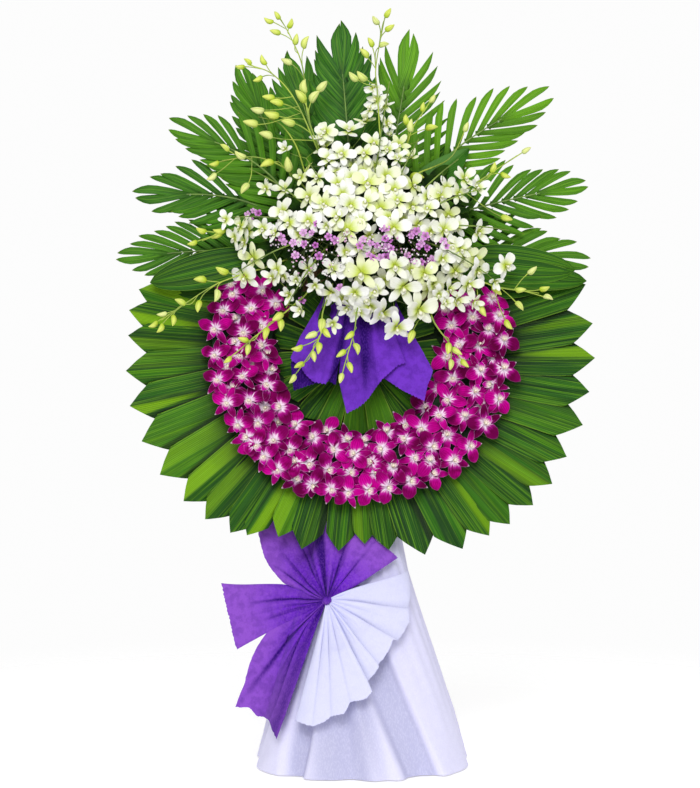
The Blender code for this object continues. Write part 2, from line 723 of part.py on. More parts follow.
def foam_block():
    """The block has a socket for each midrib; the tray is a shallow box that holds its back."""
    low = [m - s / 2 for m, s in zip(BLOCK_MIDDLE, BLOCK_SIZE)]
    high = [m + s / 2 for m, s in zip(BLOCK_MIDDLE, BLOCK_SIZE)]
    bm = bmesh.new()
    add_box(bm, low, high)
    block = object_from(bm, "foam_block", "foam", PLANE)
    sockets = bmesh.new()
    for frond in FRONDS:
        root, mouth = frond_points(frond)[:2]
        along = (mouth - root).normalized()
        corner = RACHIS_WIDTH / 2 * math.sqrt(2)
        add_rod(sockets, root - along * GAP, mouth + along * 0.02, corner + GAP, 8)
    boolean(block, cutter_from(sockets, "frond_sockets", PLANE), "DIFFERENCE")
    outer = bmesh.new()
    wall = TRAY_WALL + GAP
    add_box(
        outer,
        (low[0] - wall, -TRAY_DEPTH - GAP, low[2] - wall),
        (high[0] + wall, -GAP, high[2] + wall),
    )
    tray = object_from(outer, "foam_tray", "tray", PLANE)
    inner = bmesh.new()
    add_box(inner, (low[0] - GAP, low[1], low[2] - GAP), (high[0] + GAP, high[1] + GAP, high[2] + GAP))
    boolean(tray, cutter_from(inner, "tray_hollow", PLANE), "DIFFERENCE")


def broad_leaf(name, right, up, degrees, length, width):
    """One broad blade with a raised edge on each side of its midrib."""
    angle = math.radians(degrees)
    along = Vector((math.cos(angle), 0, math.sin(angle)))
    side = Vector((-math.sin(angle), 0, math.cos(angle)))
    rows = []
    for i in range(9):
        share = i / 8
        half = BROAD_LEAF_STALK + (width / 2 - BROAD_LEAF_STALK) * math.sin(math.pi * share**0.8) ** 0.8
        middle = Vector((right, -BROAD_LEAF_PLANE - BROAD_LEAF_RISE * share, up)) + along * length * share
        row = []
        for k in (-1.0, -0.5, 0.0, 0.5, 1.0):
            row.append(middle + side * half * k - Vector((0, BROAD_LEAF_CUP * abs(k), 0)))
        rows.append(row)
    add_sheet(name, rows, LEAF_THICKNESS, "broad_leaf", PLANE)


def mound_point(degrees, share):
    """A point of the blooms' mound: share is 0 at its middle and 1 at its rim."""
    reach = between((*MOUND_REACH, MOUND_REACH[0]), degrees % 360 / 360)
    angle = math.radians(degrees)
    rise = (MOUND_FRONT - MOUND_BACK - MOUND_RIM) * (1 - share**2) ** 0.6 + MOUND_RIM
    ripple = MOUND_RIPPLE * math.sin(math.radians(degrees) * 7) * math.sin(share * 9)
    right = MOUND_MIDDLE[0] + reach * share * math.cos(angle)
    up = MOUND_MIDDLE[1] + reach * share * math.sin(angle)
    return Vector((right, -(MOUND_BACK + rise + ripple * (1 - share)), up))


def blooms_mound():
    """The crowded white blooms as one mound with a flat back, hollowed for the stems and the foam block."""
    bm = bmesh.new()
    rings = []
    for k in range(1, MOUND_RINGS + 1):
        share = k / MOUND_RINGS
        rings.append([bm.verts.new(mound_point(360 * i / MOUND_SPOKES, share)) for i in range(MOUND_SPOKES)])
    back = []
    for vert in rings[-1]:
        back.append(bm.verts.new((vert.co.x, -MOUND_BACK, vert.co.z)))
    rings.append(back)
    centre = bm.verts.new(mound_point(0, 0))
    for i in range(MOUND_SPOKES):
        j = (i + 1) % MOUND_SPOKES
        bm.faces.new((centre, rings[0][i], rings[0][j]))
        for low, high in zip(rings, rings[1:]):
            bm.faces.new((low[i], high[i], high[j], low[j]))
    bm.faces.new(back)
    mound = object_from(bm, "white_orchid_blooms", "white_petal", PLANE)
    pocket = bmesh.new()
    low = [m - s / 2 - GAP for m, s in zip(BLOCK_MIDDLE, BLOCK_SIZE)]
    high = [m + s / 2 + GAP for m, s in zip(BLOCK_MIDDLE, BLOCK_SIZE)]
    add_box(pocket, low, (high[0], -BLOCK_MIDDLE[1] - MOUND_BACK, high[2]))
    boolean(mound, cutter_from(pocket, "block_pocket", PLANE), "DIFFERENCE")
    boolean(mound, filler_flowers(), "DIFFERENCE")
    boolean(mound, stem_sockets(), "DIFFERENCE").use_self = True


def add_cushion(bm, middle, half, extra=0.0):
    right, up, out = middle
    size = (half[0] + extra, half[1] + extra, half[2] + extra)
    place = Matrix.Translation((right, -out, up)) @ Matrix.Diagonal((*size, 1.0))
    bmesh.ops.create_uvsphere(bm, u_segments=12, v_segments=7, radius=1.0, matrix=place)


def filler_flowers():
    """The two cushions of filler flowers, and the cutter that hollows the mound round them."""
    hollows = bmesh.new()
    for name, (middle, half) in FILLER.items():
        bm = bmesh.new()
        add_cushion(bm, middle, half)
        smooth(object_from(bm, name, "filler_flower", PLANE))
        add_cushion(hollows, middle, half, 2 * GAP)
    return cutter_from(hollows, "filler_hollows", PLANE)


def stem_sockets():
    """The cutter for the holes that the bud sprays' stems stand in."""
    paths = []
    for stems in SPRAYS.values():
        for points in stems:
            path = spray_path(points)[:SOCKET_POINTS]
            path[0] = path[0] + (path[0] - path[1]).normalized() * GAP
            paths.append(path)
    radius = STEM_RADIUS + GAP
    return cutter_from(tube_mesh("stem_sockets", paths, (radius, radius)), "stem_sockets", PLANE)


def spray_path(points):
    return smooth_path([(right, -out, up) for right, up, out in points], 2)


def bud_spray(name, stems):
    """Stems joined at their root, with buds on alternate sides that shrink towards each tip."""
    paths = [spray_path(points) for points in stems]
    spray = object_from(tube_mesh(name, [paths[0]], (STEM_RADIUS, STEM_TIP)), name, "bud", PLANE)
    for i, path in enumerate(paths[1:]):
        tube = tube_mesh(name, [path], (STEM_RADIUS * 0.9, STEM_TIP))
        boolean(spray, cutter_from(tube, f"{name}_branch_{i}", PLANE), "UNION")
    buds = bmesh.new()
    for path in paths:
        add_buds(buds, path)
    boolean(spray, cutter_from(buds, name + "_buds", PLANE), "UNION")


def clear_of_mound(point):
    """Whether a bud at this point stands free of the white blooms."""
    right, up = point.x - MOUND_MIDDLE[0], point.z - MOUND_MIDDLE[1]
    degrees = math.degrees(math.atan2(up, right))
    rim = mound_point(degrees, 1.0)
    share = math.hypot(right, up) / math.hypot(rim.x - MOUND_MIDDLE[0], rim.z - MOUND_MIDDLE[1])
    if share > 1.0:
        return share > 1.06
    return -point.y > -mound_point(degrees, share).y + 2 * BUD_RADIUS


def add_buds(bm, path):
    """Buds from the tip of a path back towards the blooms, each a spindle with one end in the stem."""
    lengths = [0.0]
    for a, b in zip(path, path[1:]):
        lengths.append(lengths[-1] + (b - a).length)
    for i in range(BUDS_PER_STEM):
        place = lengths[-1] - i * BUD_SPACING
        index = max(k for k in range(len(path) - 1) if lengths[k] < place)
        along = (path[index + 1] - path[index]).normalized()
        root = path[index] + along * (place - lengths[index])
        if not clear_of_mound(root):
            return
        across = along.cross(Vector((0, 1, 0))).normalized() * (1 if i % 2 else -1)
        tilt = BUD_TILT if i else 0.0
        way = along * math.cos(tilt) + across * math.sin(tilt)
        size = BUD_TIP_SIZE + (1.0 - BUD_TIP_SIZE) * i / (BUDS_PER_STEM - 1)
        half = BUD_LENGTH * size / 2
        turn = Vector((0, 0, 1)).rotation_difference(way).to_matrix().to_4x4()
        thick = BUD_RADIUS * size
        shape = Matrix.Diagonal((thick, thick, half, 1.0))
        place = Matrix.Translation(root + way * half * 0.9) @ turn @ shape
        bmesh.ops.create_uvsphere(bm, u_segments=5, v_segments=4, radius=1.0, matrix=place)


def swag(name, start, end, reaches, shift, out):
    """A fan of cloth from its pinched top, pleated, standing further out towards its hem."""
    columns = 9
    rows = []
    for k in range(6):
        share = SWAG_PINCH + (1 - SWAG_PINCH) * k / 5
        row = []
        for i in range(columns):
            across = i / (columns - 1)
            angle = math.radians(start + (end - start) * across)
            reach = between(reaches, across)
            pleat = SWAG_PLEAT * share * (1 if i % 2 else -1)
            drop = reach * (share - SWAG_PINCH) * math.cos(angle)
            here = out + SWAG_RISE * max(drop - SWAG_FLAT, 0.0) + pleat
            middle = shift * (1 - share) + SWAG_TOP[0]
            row.append((middle + reach * share * math.sin(angle), -here, SWAG_TOP[1] - drop))
        rows.append(row)
    add_sheet(name, rows, CLOTH_THICKNESS, "violet_cloth", PLANE)


def skirt_size(z):
    """The values of a row of SKIRT_ROWS at any height."""
    z = min(max(z, SKIRT_ROWS[-1][0]), SKIRT_ROWS[0][0])
    for high, low in zip(SKIRT_ROWS, SKIRT_ROWS[1:]):
        if z >= low[0]:
            share = (high[0] - z) / (high[0] - low[0])
            return [a + (b - a) * share for a, b in zip(high[1:], low[1:])]
    return SKIRT_ROWS[-1][1:]


def skirt_point(z, turn, pleated=True, extra=0.0):
    """A point on the skirt: turn runs from 0 to 1 round it, from the right towards the front."""
    x, half, front, back, widest, square, pleat_depth = skirt_size(z)
    angle = 2 * math.pi * turn
    c, s = math.cos(angle), -math.sin(angle)
    depth = (widest - front) if s < 0 else (back - widest)
    pleat = pleat_depth * math.cos(angle * SKIRT_PLEATS) if pleated else 0.0
    wide = half + pleat + extra
    deep = depth + pleat + extra
    return Vector(
        (
            STAND_X + x + wide * math.copysign(abs(c) ** (2 / square), c),
            widest + deep * math.copysign(abs(s) ** (2 / square), s),
            z,
        )
    )


def skirt():
    columns = SKIRT_PLEATS * 4
    rows = [[skirt_point(row[0], i / columns) for i in range(columns)] for row in SKIRT_ROWS]
    add_sheet("skirt", rows, CLOTH_THICKNESS, "white_cloth", closed=True)


def skirt_tie():
    """The cord round the gathered top of the skirt."""
    pleat_depth = skirt_size(TIE_Z)[-1]
    out = pleat_depth + CLOTH_THICKNESS / 2 + TIE_RADIUS + GAP
    steps = 48
    sides = 6
    bm = bmesh.new()
    rings = []
    for i in range(steps):
        middle = skirt_point(TIE_Z, i / steps, False, out)
        behind = skirt_point(TIE_Z, (i - 1) / steps, False, out)
        ahead = skirt_point(TIE_Z, (i + 1) / steps, False, out)
        outward = (ahead - behind).cross(Vector((0, 0, 1))).normalized()
        ring = []
        for k in range(sides):
            a = 2 * math.pi * k / sides
            offset = outward * TIE_RADIUS * math.cos(a) + Vector((0, 0, TIE_RADIUS * math.sin(a)))
            ring.append(bm.verts.new(middle + offset))
        rings.append(ring)
    for i, low in enumerate(rings):
        high = rings[(i + 1) % steps]
        for k in range(sides):
            j = (k + 1) % sides
            bm.faces.new((low[k], low[j], high[j], high[k]))
    smooth(object_from(bm, "skirt_tie", "cord"))


def skirt_front_at(x, z):
    """The y of the crests of the skirt's pleats in front, at a place across and up."""
    centre, half, front, _back, widest, square, crest = skirt_size(z)
    share = min(abs(x - STAND_X - centre) / (half + crest), 0.98)
    return widest - (widest - front + crest) * (1 - share**square) ** (1 / square)


def knot_place():
    """The knot touches the crest of one pleat."""
    crest = skirt_point(KNOT_Z, KNOT_TURN)
    beside = skirt_point(KNOT_Z, KNOT_TURN + 0.01, False) - skirt_point(KNOT_Z, KNOT_TURN - 0.01, False)
    below = skirt_point(KNOT_Z - 0.01, KNOT_TURN, False) - skirt_point(KNOT_Z + 0.01, KNOT_TURN, False)
    outward = beside.cross(below).normalized()
    if outward.y > 0:
        outward.negate()
    return crest + outward * (CLOTH_THICKNESS / 2 + KNOT_RADIUS + GAP)


def bow():
    knot = knot_place()
    bm = bmesh.new()
    bmesh.ops.create_uvsphere(bm, u_segments=16, v_segments=10, radius=KNOT_RADIUS)
    ball = object_from(bm, "bow_knot", "violet_cloth")
    ball.location = knot
    smooth(ball)
    for name, (start, end, reaches, pleats) in LOBES.items():
        slot = "white_cloth" if name == "bow_fan_white" else "violet_cloth"
        bow_lobe(name, start, end, reaches, pleats, slot, knot)


def bow_lobe(name, start, end, reaches, pleats, slot, knot):
    """A pleated fan of cloth from the knot, lying a little off the skirt."""
    columns = pleats * 2 + 1
    rows = []
    for k in range(6):
        row = []
        for i in range(columns):
            across = i / (columns - 1)
            angle = math.radians(start + (end - start) * across)
            near = KNOT_RADIUS + 2 * GAP
            reach = near + (between(reaches, across) - near) * k / 5
            x = knot.x + reach * math.cos(angle)
            z = knot.z + reach * math.sin(angle)
            leave = min((reach - near) / LOBE_LEAVE, 1.0)
            rest = min(skirt_front_at(x, z), skirt_front_at(x, z - 0.02)) - LOBE_LIFT - CLOTH_THICKNESS
            pleat = LOBE_PLEAT * leave * (1 if i % 2 else -1)
            row.append((x, knot.y * (1 - leave) + rest * leave + pleat, z))
        rows.append(row)
    add_sheet(name, rows, CLOTH_THICKNESS, slot)


def main():
    stand()
    backing_board()
    collar()
    orchid_ring()
    foam_block()
    for i, frond in enumerate(FRONDS):
        palm_frond(f"palm_frond_{i + 1}", frond)
    for name, leaf in BROAD_LEAVES.items():
        broad_leaf(name, *leaf)
    blooms_mound()
    for name, stems in SPRAYS.items():
        bud_spray(name, stems)
    for name, (start, end, reaches, shift, out) in SWAGS.items():
        swag(name, start, end, reaches, shift, out)
    skirt()
    skirt_tie()
    bow()


main()
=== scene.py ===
import math

import bmesh
import bpy
import numpy as np
from mathutils import Matrix, Vector, noise


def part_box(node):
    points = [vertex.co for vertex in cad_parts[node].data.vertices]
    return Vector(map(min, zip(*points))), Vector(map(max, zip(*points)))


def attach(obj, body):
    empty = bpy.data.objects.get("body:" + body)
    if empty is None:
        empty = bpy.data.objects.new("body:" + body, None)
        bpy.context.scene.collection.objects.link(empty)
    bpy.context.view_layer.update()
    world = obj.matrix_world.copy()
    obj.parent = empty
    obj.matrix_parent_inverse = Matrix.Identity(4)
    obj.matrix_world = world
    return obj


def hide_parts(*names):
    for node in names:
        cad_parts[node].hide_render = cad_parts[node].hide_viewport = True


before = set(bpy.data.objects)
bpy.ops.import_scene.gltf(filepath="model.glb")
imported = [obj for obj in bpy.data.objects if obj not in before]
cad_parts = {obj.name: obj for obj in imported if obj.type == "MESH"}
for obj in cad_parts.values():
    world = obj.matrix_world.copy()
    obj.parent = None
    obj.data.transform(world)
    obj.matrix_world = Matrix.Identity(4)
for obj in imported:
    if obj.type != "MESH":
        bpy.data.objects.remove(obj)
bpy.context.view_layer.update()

BODY = "root"

# The wreath's plane, in metres: its middle, and how far its top leans back
WREATH_MIDDLE = (0.0095, -0.054, 0.918)
LEAN = math.radians(8.0)

# The camera looks level along +Y
CAMERA_PLACE = (-0.00925, -4.2, 0.8243)
CAMERA_LENS = 84.62

# Collar leaves: each tip's direction in degrees from straight down, its reach, and the leaf's width
COLLAR_TIPS = [
    (-105.1, 0.508, 0.075), (-99.8, 0.518, 0.062), (-93.8, 0.512, 0.070), (-85.0, 0.517, 0.083),
    (-76.0, 0.521, 0.086), (-66.4, 0.520, 0.088), (-56.9, 0.518, 0.084), (-48.5, 0.511, 0.074),
    (-42.0, 0.505, 0.066), (-35.1, 0.494, 0.064), (-30.9, 0.479, 0.062), (-22.7, 0.451, 0.062),
    (-15.3, 0.459, 0.072), (-5.3, 0.448, 0.063), (1.6, 0.431, 0.050), (8.0, 0.448, 0.061),
    (17.4, 0.477, 0.092), (27.3, 0.497, 0.084), (35.1, 0.502, 0.068), (40.9, 0.510, 0.064),
    (47.8, 0.516, 0.066), (54.4, 0.520, 0.070), (62.0, 0.517, 0.080), (71.1, 0.523, 0.084),
    (79.7, 0.519, 0.082), (88.2, 0.524, 0.080), (96.5, 0.524, 0.082), (105.8, 0.527, 0.084),
]
LEAVES_IN_BUNDLE = 4
COLLAR_START = 0.050
COLLAR_WIDTH = 0.080
COLLAR_POINT = 0.050
COLLAR_SEAT = 0.0062
COLLAR_ROLL = math.radians(6.0)
COLLAR_FLAT = 0.300
COLLAR_FOLDS = (0.0042, 0.0052)
COLLAR_RISE = 0.024

# Leaves that show inside the ring: direction from straight down, reach, width, layer and lightness
INNER_LEAVES = [
    (-150, 0.180, 0.060, 0, 0.0), (-137, 0.184, 0.060, 2, 0.1), (-126, 0.186, 0.060, 1, 0.1),
    (-101, 0.189, 0.060, 0, 0.2),
    (-78, 0.190, 0.058, 1, 0.10), (-58, 0.191, 0.060, 2, 0.45), (-39, 0.192, 0.052, 0, 0.20),
    (-23, 0.192, 0.054, 2, 0.70), (-3, 0.193, 0.060, 1, 0.80), (17, 0.193, 0.062, 2, 1.00),
    (34, 0.192, 0.050, 0, 0.10), (48, 0.192, 0.054, 1, 0.50), (66, 0.190, 0.060, 0, 0.10),
    (88, 0.189, 0.060, 1, 0.1), (112, 0.187, 0.060, 0, 0.2), (126, 0.186, 0.060, 2, 0.1),
    (138, 0.183, 0.060, 1, 0.0), (151, 0.180, 0.060, 0, 0.0),
]

# Purple orchid heads in the ring: right, up in millimetres, and the direction of the lip in degrees
PURPLE_HEADS = [
    (-298, 84, 265), (-238, 87, 280), (-316, 43, 260), (-254, 34, 270), (-276, 121, 275),
    (-315, -16, 265), (-261, -18, 260), (-204, -16, 80), (-309, -71, 255), (-254, -64, 265),
    (-201, -84, 240), (-288, -123, 262), (-239, -117, 262), (-172, -132, 185), (-263, -170, 255),
    (-220, -166, 262), (-136, -172, 200), (-185, 100, 290), (-214, 50, 255), (-283, 142, 285),
    (-226, -216, 300), (-185, -204, 285), (-99, -200, 180), (-205, -240, 275), (-151, -225, 290),
    (-53, -226, 195), (-176, -269, 285), (-110, -257, 320), (-67, -271, 350), (-136, -290, 30),
    (-101, -303, 300), (-60, -312, 285), (-18, -277, 350), (-23, -320, 330), (-8, -237, 182),
    (51, -225, 195), (101, -204, 220), (139, -179, 245), (178, -151, 250), (233, -153, 80),
    (194, -195, 75), (161, -220, 20), (122, -246, 15), (243, -218, 35), (208, -249, 20),
    (163, -278, 25), (114, -294, 5), (75, -265, 60), (36, -279, 10), (22, -314, 350), (64, -308, 5),
    (252, 68, 270), (310, 70, 75), (206, 50, 270), (320, 17, 95), (267, 4, 85), (224, 7, 250),
    (319, -46, 80), (267, -52, 85), (207, -69, 270), (255, -100, 65), (307, -114, 60),
    (198, -115, 235), (277, -168, 60), (195, 88, 260), (238, 104, 100), (-214, 129, 300),
    (295, 111, 90), (-213, 5, 200), (288, 39, 120), (-270, 12, 180), (226, -32, 300),
    (29, -254, 200), (-137, -254, 150), (156, -251, 120), (-244, -199, 170),
]
PURPLE_WIDTH = 0.083
RING_REACH = 0.260
RING_HALF = 0.088
RING_SEAT = 0.052
RING_CROWN = 0.014
RING_SPAN = (-116.0, 110.0)
RING_BUNCHES = 6
RING_ROOM = 0.0335
RING_SUNK = 0.012

# White orchid heads: right, up, out and width in millimetres, the direction of the lip, and whether half open
WHITE_HEADS = [
    (-162, 431, 125, 40, 180, 1), (-126, 369, 127, 35, 200, 1), (-89, 361, 151, 53, 260, 0),
    (-72, 441, 112, 53, 250, 0), (-81, 460, 125, 48, 230, 0), (-203, 345, 125, 40, 265, 1),
    (-164, 346, 105, 53, 290, 0), (-51, 326, 173, 44, 270, 0), (-108, 317, 156, 57, 255, 0),
    (-165, 287, 142, 57, 300, 0), (-151, 259, 156, 53, 240, 0), (-108, 260, 171, 57, 260, 0),
    (-71, 292, 174, 57, 280, 0), (-291, 273, 125, 40, 215, 0), (-258, 260, 125, 48, 240, 0),
    (-242, 253, 110, 53, 270, 0), (-209, 253, 124, 48, 255, 0), (-182, 239, 145, 44, 290, 0),
    (-68, 246, 182, 44, 265, 1), (34, 570, 125, 44, 110, 0), (41, 542, 125, 48, 200, 0),
    (28, 524, 125, 48, 240, 0), (59, 531, 125, 40, 330, 0), (63, 490, 125, 44, 300, 0),
    (-21, 478, 115, 66, 260, 0), (17, 501, 110, 48, 220, 0), (34, 440, 142, 53, 255, 0),
    (14, 413, 156, 53, 250, 0), (-36, 414, 146, 57, 245, 0), (-72, 472, 125, 48, 225, 0),
    (-63, 406, 140, 57, 260, 0), (89, 443, 124, 44, 300, 1), (68, 466, 114, 40, 280, 1),
    (65, 426, 143, 44, 260, 0), (86, 404, 148, 44, 300, 0), (115, 411, 132, 40, 30, 1),
    (60, 360, 171, 57, 280, 0), (20, 340, 180, 62, 265, 0), (-14, 355, 173, 62, 250, 0),
    (-45, 342, 170, 57, 250, 0), (-34, 318, 178, 53, 270, 0), (77, 328, 176, 62, 285, 0),
    (46, 322, 181, 48, 265, 0), (85, 302, 180, 57, 270, 0), (116, 292, 175, 48, 300, 0),
    (149, 316, 160, 48, 310, 0), (167, 327, 150, 44, 320, 0), (-75, 297, 172, 53, 250, 0),
    (-17, 290, 185, 62, 265, 0), (16, 296, 187, 57, 270, 0), (-45, 266, 184, 62, 260, 0),
    (48, 285, 186, 57, 270, 0), (65, 263, 187, 53, 280, 0), (-23, 238, 188, 66, 265, 0),
    (5, 255, 189, 57, 270, 0), (76, 240, 187, 70, 275, 0), (7, 146, 166, 73, 262, 0),
    (78, 161, 171, 62, 270, 0), (113, 156, 159, 48, 300, 0), (96, 119, 145, 75, 270, 0),
    (142, 149, 142, 57, 290, 0), (163, 130, 114, 62, 300, 0), (131, 72, 125, 75, 275, 0),
    (-58, 112, 118, 62, 262, 0), (-32, 99, 116, 53, 255, 0), (-8, 108, 136, 57, 265, 0),
    (18, 98, 130, 66, 280, 0), (35, 112, 147, 53, 300, 0), (25, 82, 118, 66, 275, 0),
    (1, 72, 110, 57, 265, 1), (52, 67, 112, 62, 270, 0), (83, 35, 125, 66, 285, 0),
    (-23, 80, 110, 48, 255, 1), (-56, 44, 120, 40, 240, 1), (232, 365, 125, 57, 300, 0),
    (260, 345, 125, 53, 280, 1), (219, 332, 122, 48, 290, 0), (194, 344, 129, 48, 300, 0),
    (178, 319, 150, 53, 280, 0), (150, 287, 169, 48, 275, 0), (185, 241, 167, 62, 285, 0),
    (261, 244, 133, 57, 272, 1), (154, 235, 174, 48, 270, 0), (181, 181, 146, 57, 275, 0),
    (201, 207, 151, 53, 290, 0), (221, 203, 140, 53, 300, 0), (256, 186, 112, 57, 310, 0),
    (235, 194, 127, 48, 280, 0), (211, 160, 114, 57, 275, 0), (259, 159, 120, 53, 290, 0),
    (239, 130, 120, 62, 270, 0), (322, 172, 120, 53, 320, 0), (298, 137, 120, 40, 330, 1),
    (154, 123, 118, 57, 270, 0), (175, 108, 120, 48, 265, 1), (197, 119, 120, 48, 285, 1),
    (188, 90, 120, 44, 275, 1), (214, 95, 120, 53, 280, 1), (251, 90, 120, 40, 265, 1),
    (-271, 235, 115, 44, 225, 0), (-249, 226, 115, 53, 235, 0), (-231, 192, 105, 57, 265, 0),
    (-248, 148, 110, 62, 262, 0), (-188, 147, 112, 48, 255, 1), (-178, 162, 118, 48, 240, 0),
    (-163, 148, 120, 40, 265, 0), (-136, 139, 130, 40, 270, 1), (-153, 109, 105, 40, 200, 1),
    (-125, 75, 115, 44, 265, 1), (-95, 126, 130, 40, 262, 1),
]
WHITE_WIDTH = 0.060
WHITE_GROWTH = 1.14

# The white flowers' mound on the wreath's plane: middle, reach every 30 degrees from the right, and its depth
MOUND_MIDDLE = (0.020, 0.240)
MOUND_REACH = (0.295, 0.240, 0.235, 0.265, 0.235, 0.225, 0.270, 0.235, 0.165, 0.170, 0.190, 0.200)
MOUND_BACK = 0.062
MOUND_FRONT = 0.190
MOUND_RIM = 0.012

# Palm fronds: root right and up, direction in the block, midrib's end right and up, plane, painted light,
# leaflets' width, how much wider they are at the tip, their distance along the midrib, their length, and whether
# they are full at the root
FRONDS = [
    (-0.130, 0.222, 176, (-0.426, 0.215), 0, 0.35, 1.00, 1.10, 0.0235, 0.142, 0),
    (-0.130, 0.256, 132, (-0.384, 0.348), 1, 0.20, 1.05, 1.30, 0.0245, 0.146, 0),
    (-0.130, 0.288, 110, (-0.322, 0.466), 2, 0.50, 1.02, 1.10, 0.0245, 0.142, 0),
    (-0.085, 0.310, 127, (-0.225, 0.545), 0, 0.35, 1.10, 1.10, 0.0215, 0.142, 0),
    (-0.050, 0.310, 107, (-0.128, 0.570), 1, 0.20, 1.40, 1.20, 0.0200, 0.142, 1),
    (-0.015, 0.310, 92, (-0.036, 0.628), 2, 0.05, 1.40, 1.25, 0.0215, 0.146, 1),
    (0.035, 0.310, 72, (0.103, 0.600), 0, 0.80, 1.00, 1.60, 0.0235, 0.164, 1),
    (0.085, 0.310, 56, (0.322, 0.520), 1, 1.00, 1.00, 1.10, 0.0280, 0.156, 0),
    (0.130, 0.280, 17, (0.404, 0.348), 2, 0.55, 1.00, 1.10, 0.0260, 0.142, 0),
    (0.130, 0.225, 0, (0.400, 0.211), 0, 0.50, 1.00, 1.10, 0.0255, 0.142, 0),
]
FROND_PLANES = (0.030, 0.041, 0.051)
FROND_SOCKET = 0.030
FROND_ARCH = 0.036
FROND_REACH = 0.450
FRONT_OF_MIDRIB = 0.0022
LEAFLET_WIDTH = 0.0165
LEAFLET_BACK = 0.055
LEAFLET_HALVES = ((0.0, 0.62), (0.12, 0.68), (0.36, 0.84), (0.60, 0.98), (0.76, 1.0), (0.87, 0.80), (0.95, 0.44),
                  (1.0, 0.04))
FULL_HALVES = ((0.0, 0.96), (0.12, 1.0), (0.36, 1.0), (0.58, 1.0), (0.72, 0.92), (0.84, 0.66), (0.94, 0.28),
               (1.0, 0.03))


# Bud sprays: piece, node, stems (right, up, out) and buds (right, up), in millimetres
SPRAYS = [
    (
        "buds_top_left", "bud_sprays_top_left",
        [
            [(-30, 330, 110), (-70, 400, 125), (-110, 500, 130), (-124, 620, 125), (-150, 688, 125),
             (-174, 732, 128)],
            [(-30, 330, 110), (-85, 420, 140), (-138, 535, 147), (-189, 597, 145), (-245, 620, 145)],
        ],
        [
            (-181, 741), (-199, 725), (-152, 723), (-185, 700), (-139, 684), (-116, 674), (-160, 635), (-81, 578),
            (-118, 576), (-129, 551), (-96, 551), (-262, 617), (-245, 626), (-209, 629), (-222, 585), (-198, 542),
            (-180, 530), (-222, 517), (-191, 505), (-237, 485), (-155, 489), (-204, 460),
        ],
    ),
    (
        "buds_left", "bud_sprays_left",
        [
            [(-100, 330, 100), (-118, 385, 115), (-140, 445, 125), (-175, 490, 130), (-222, 505, 130)],
            [(-100, 330, 100), (-155, 385, 125), (-225, 412, 135), (-300, 404, 135)],
        ],
        [
            (-294, 432), (-259, 416), (-201, 396), (-318, 400), (-322, 366), (-249, 341), (-155, 396), (-107, 396),
        ],
    ),
    (
        "buds_side_left", "bud_sprays_side_left",
        [
            [(-150, 195, 90), (-215, 170, 100), (-270, 150, 108), (-328, 123, 112), (-430, 52, 115)],
            [(-150, 195, 90), (-205, 235, 95), (-260, 262, 100), (-345, 232, 100)],
        ],
        [
            (-346, 256), (-307, 256), (-313, 245), (-366, 227), (-347, 142), (-299, 164), (-312, 106), (-349, 82),
            (-390, 93), (-429, 66), (-405, 51), (-449, 44), (-433, 33),
        ],
    ),
    (
        "buds_hanging_left", "bud_spray_hanging_left",
        [[(-100, 130, 95), (-147, 81, 112), (-208, 28, 125), (-270, -26, 127)]],
        [(-176, 56), (-171, 40), (-202, 20), (-251, 7), (-240, -17), (-284, -39)],
    ),
    (
        "buds_hanging_middle", "bud_spray_hanging_middle",
        [[(-55, 140, 100), (-78, 70, 118), (-85, 10, 130), (-132, -64, 128)]],
        [(-80, 37), (-69, 19), (-103, 15), (-134, -11), (-88, -14), (-97, -31), (-129, -49), (-144, -79)],
    ),
    (
        "buds_hanging_right", "bud_spray_hanging_right",
        [[(10, 130, 110), (-4, 68, 135), (-10, 20, 145), (-33, -60, 145)]],
        [(-21, 12), (-38, -27), (-6, -16), (-19, -58), (-38, -82)],
    ),
    (
        "buds_top", "bud_spray_top",
        [[(45, 370, 118), (52, 415, 154), (46, 480, 154), (41, 560, 150), (39, 620, 142), (60, 741, 127)]],
        [(66, 743), (39, 729), (70, 708), (57, 669), (26, 672), (12, 646), (8, 591), (-10, 591)],
    ),
    (
        "buds_right_top", "bud_sprays_right_top",
        [
            [(85, 350, 110), (94, 410, 120), (120, 480, 130), (152, 528, 130)],
            [(85, 350, 110), (150, 390, 122), (202, 412, 130), (232, 465, 130)],
            [(85, 350, 110), (160, 335, 128), (230, 340, 132), (350, 418, 128)],
        ],
        [
            (163, 548), (143, 528), (107, 500), (116, 485), (162, 480), (237, 480), (369, 428), (296, 389),
            (324, 373), (129, 371), (325, 277),
        ],
    ),
    (
        "buds_right", "bud_sprays_right",
        [
            [(160, 135, 90), (250, 142, 105), (310, 125, 110), (395, 113, 108)],
            [(160, 135, 90), (160, 60, 112), (195, 2, 125), (225, -40, 125)],
        ],
        [
            (380, 163), (408, 125), (414, 101), (355, 121), (352, 85), (303, 119), (215, 92), (272, 74), (328, 43),
            (114, 15), (194, -14), (214, -19), (199, -47), (231, -45),
        ],
    ),
]
BUD_LENGTH = 0.033
BUD_RADIUS = 0.0088
SPRAY_RADIUS = 0.0022
SPRAY_TIP = 0.0011
SPRAY_SINK = 0.016

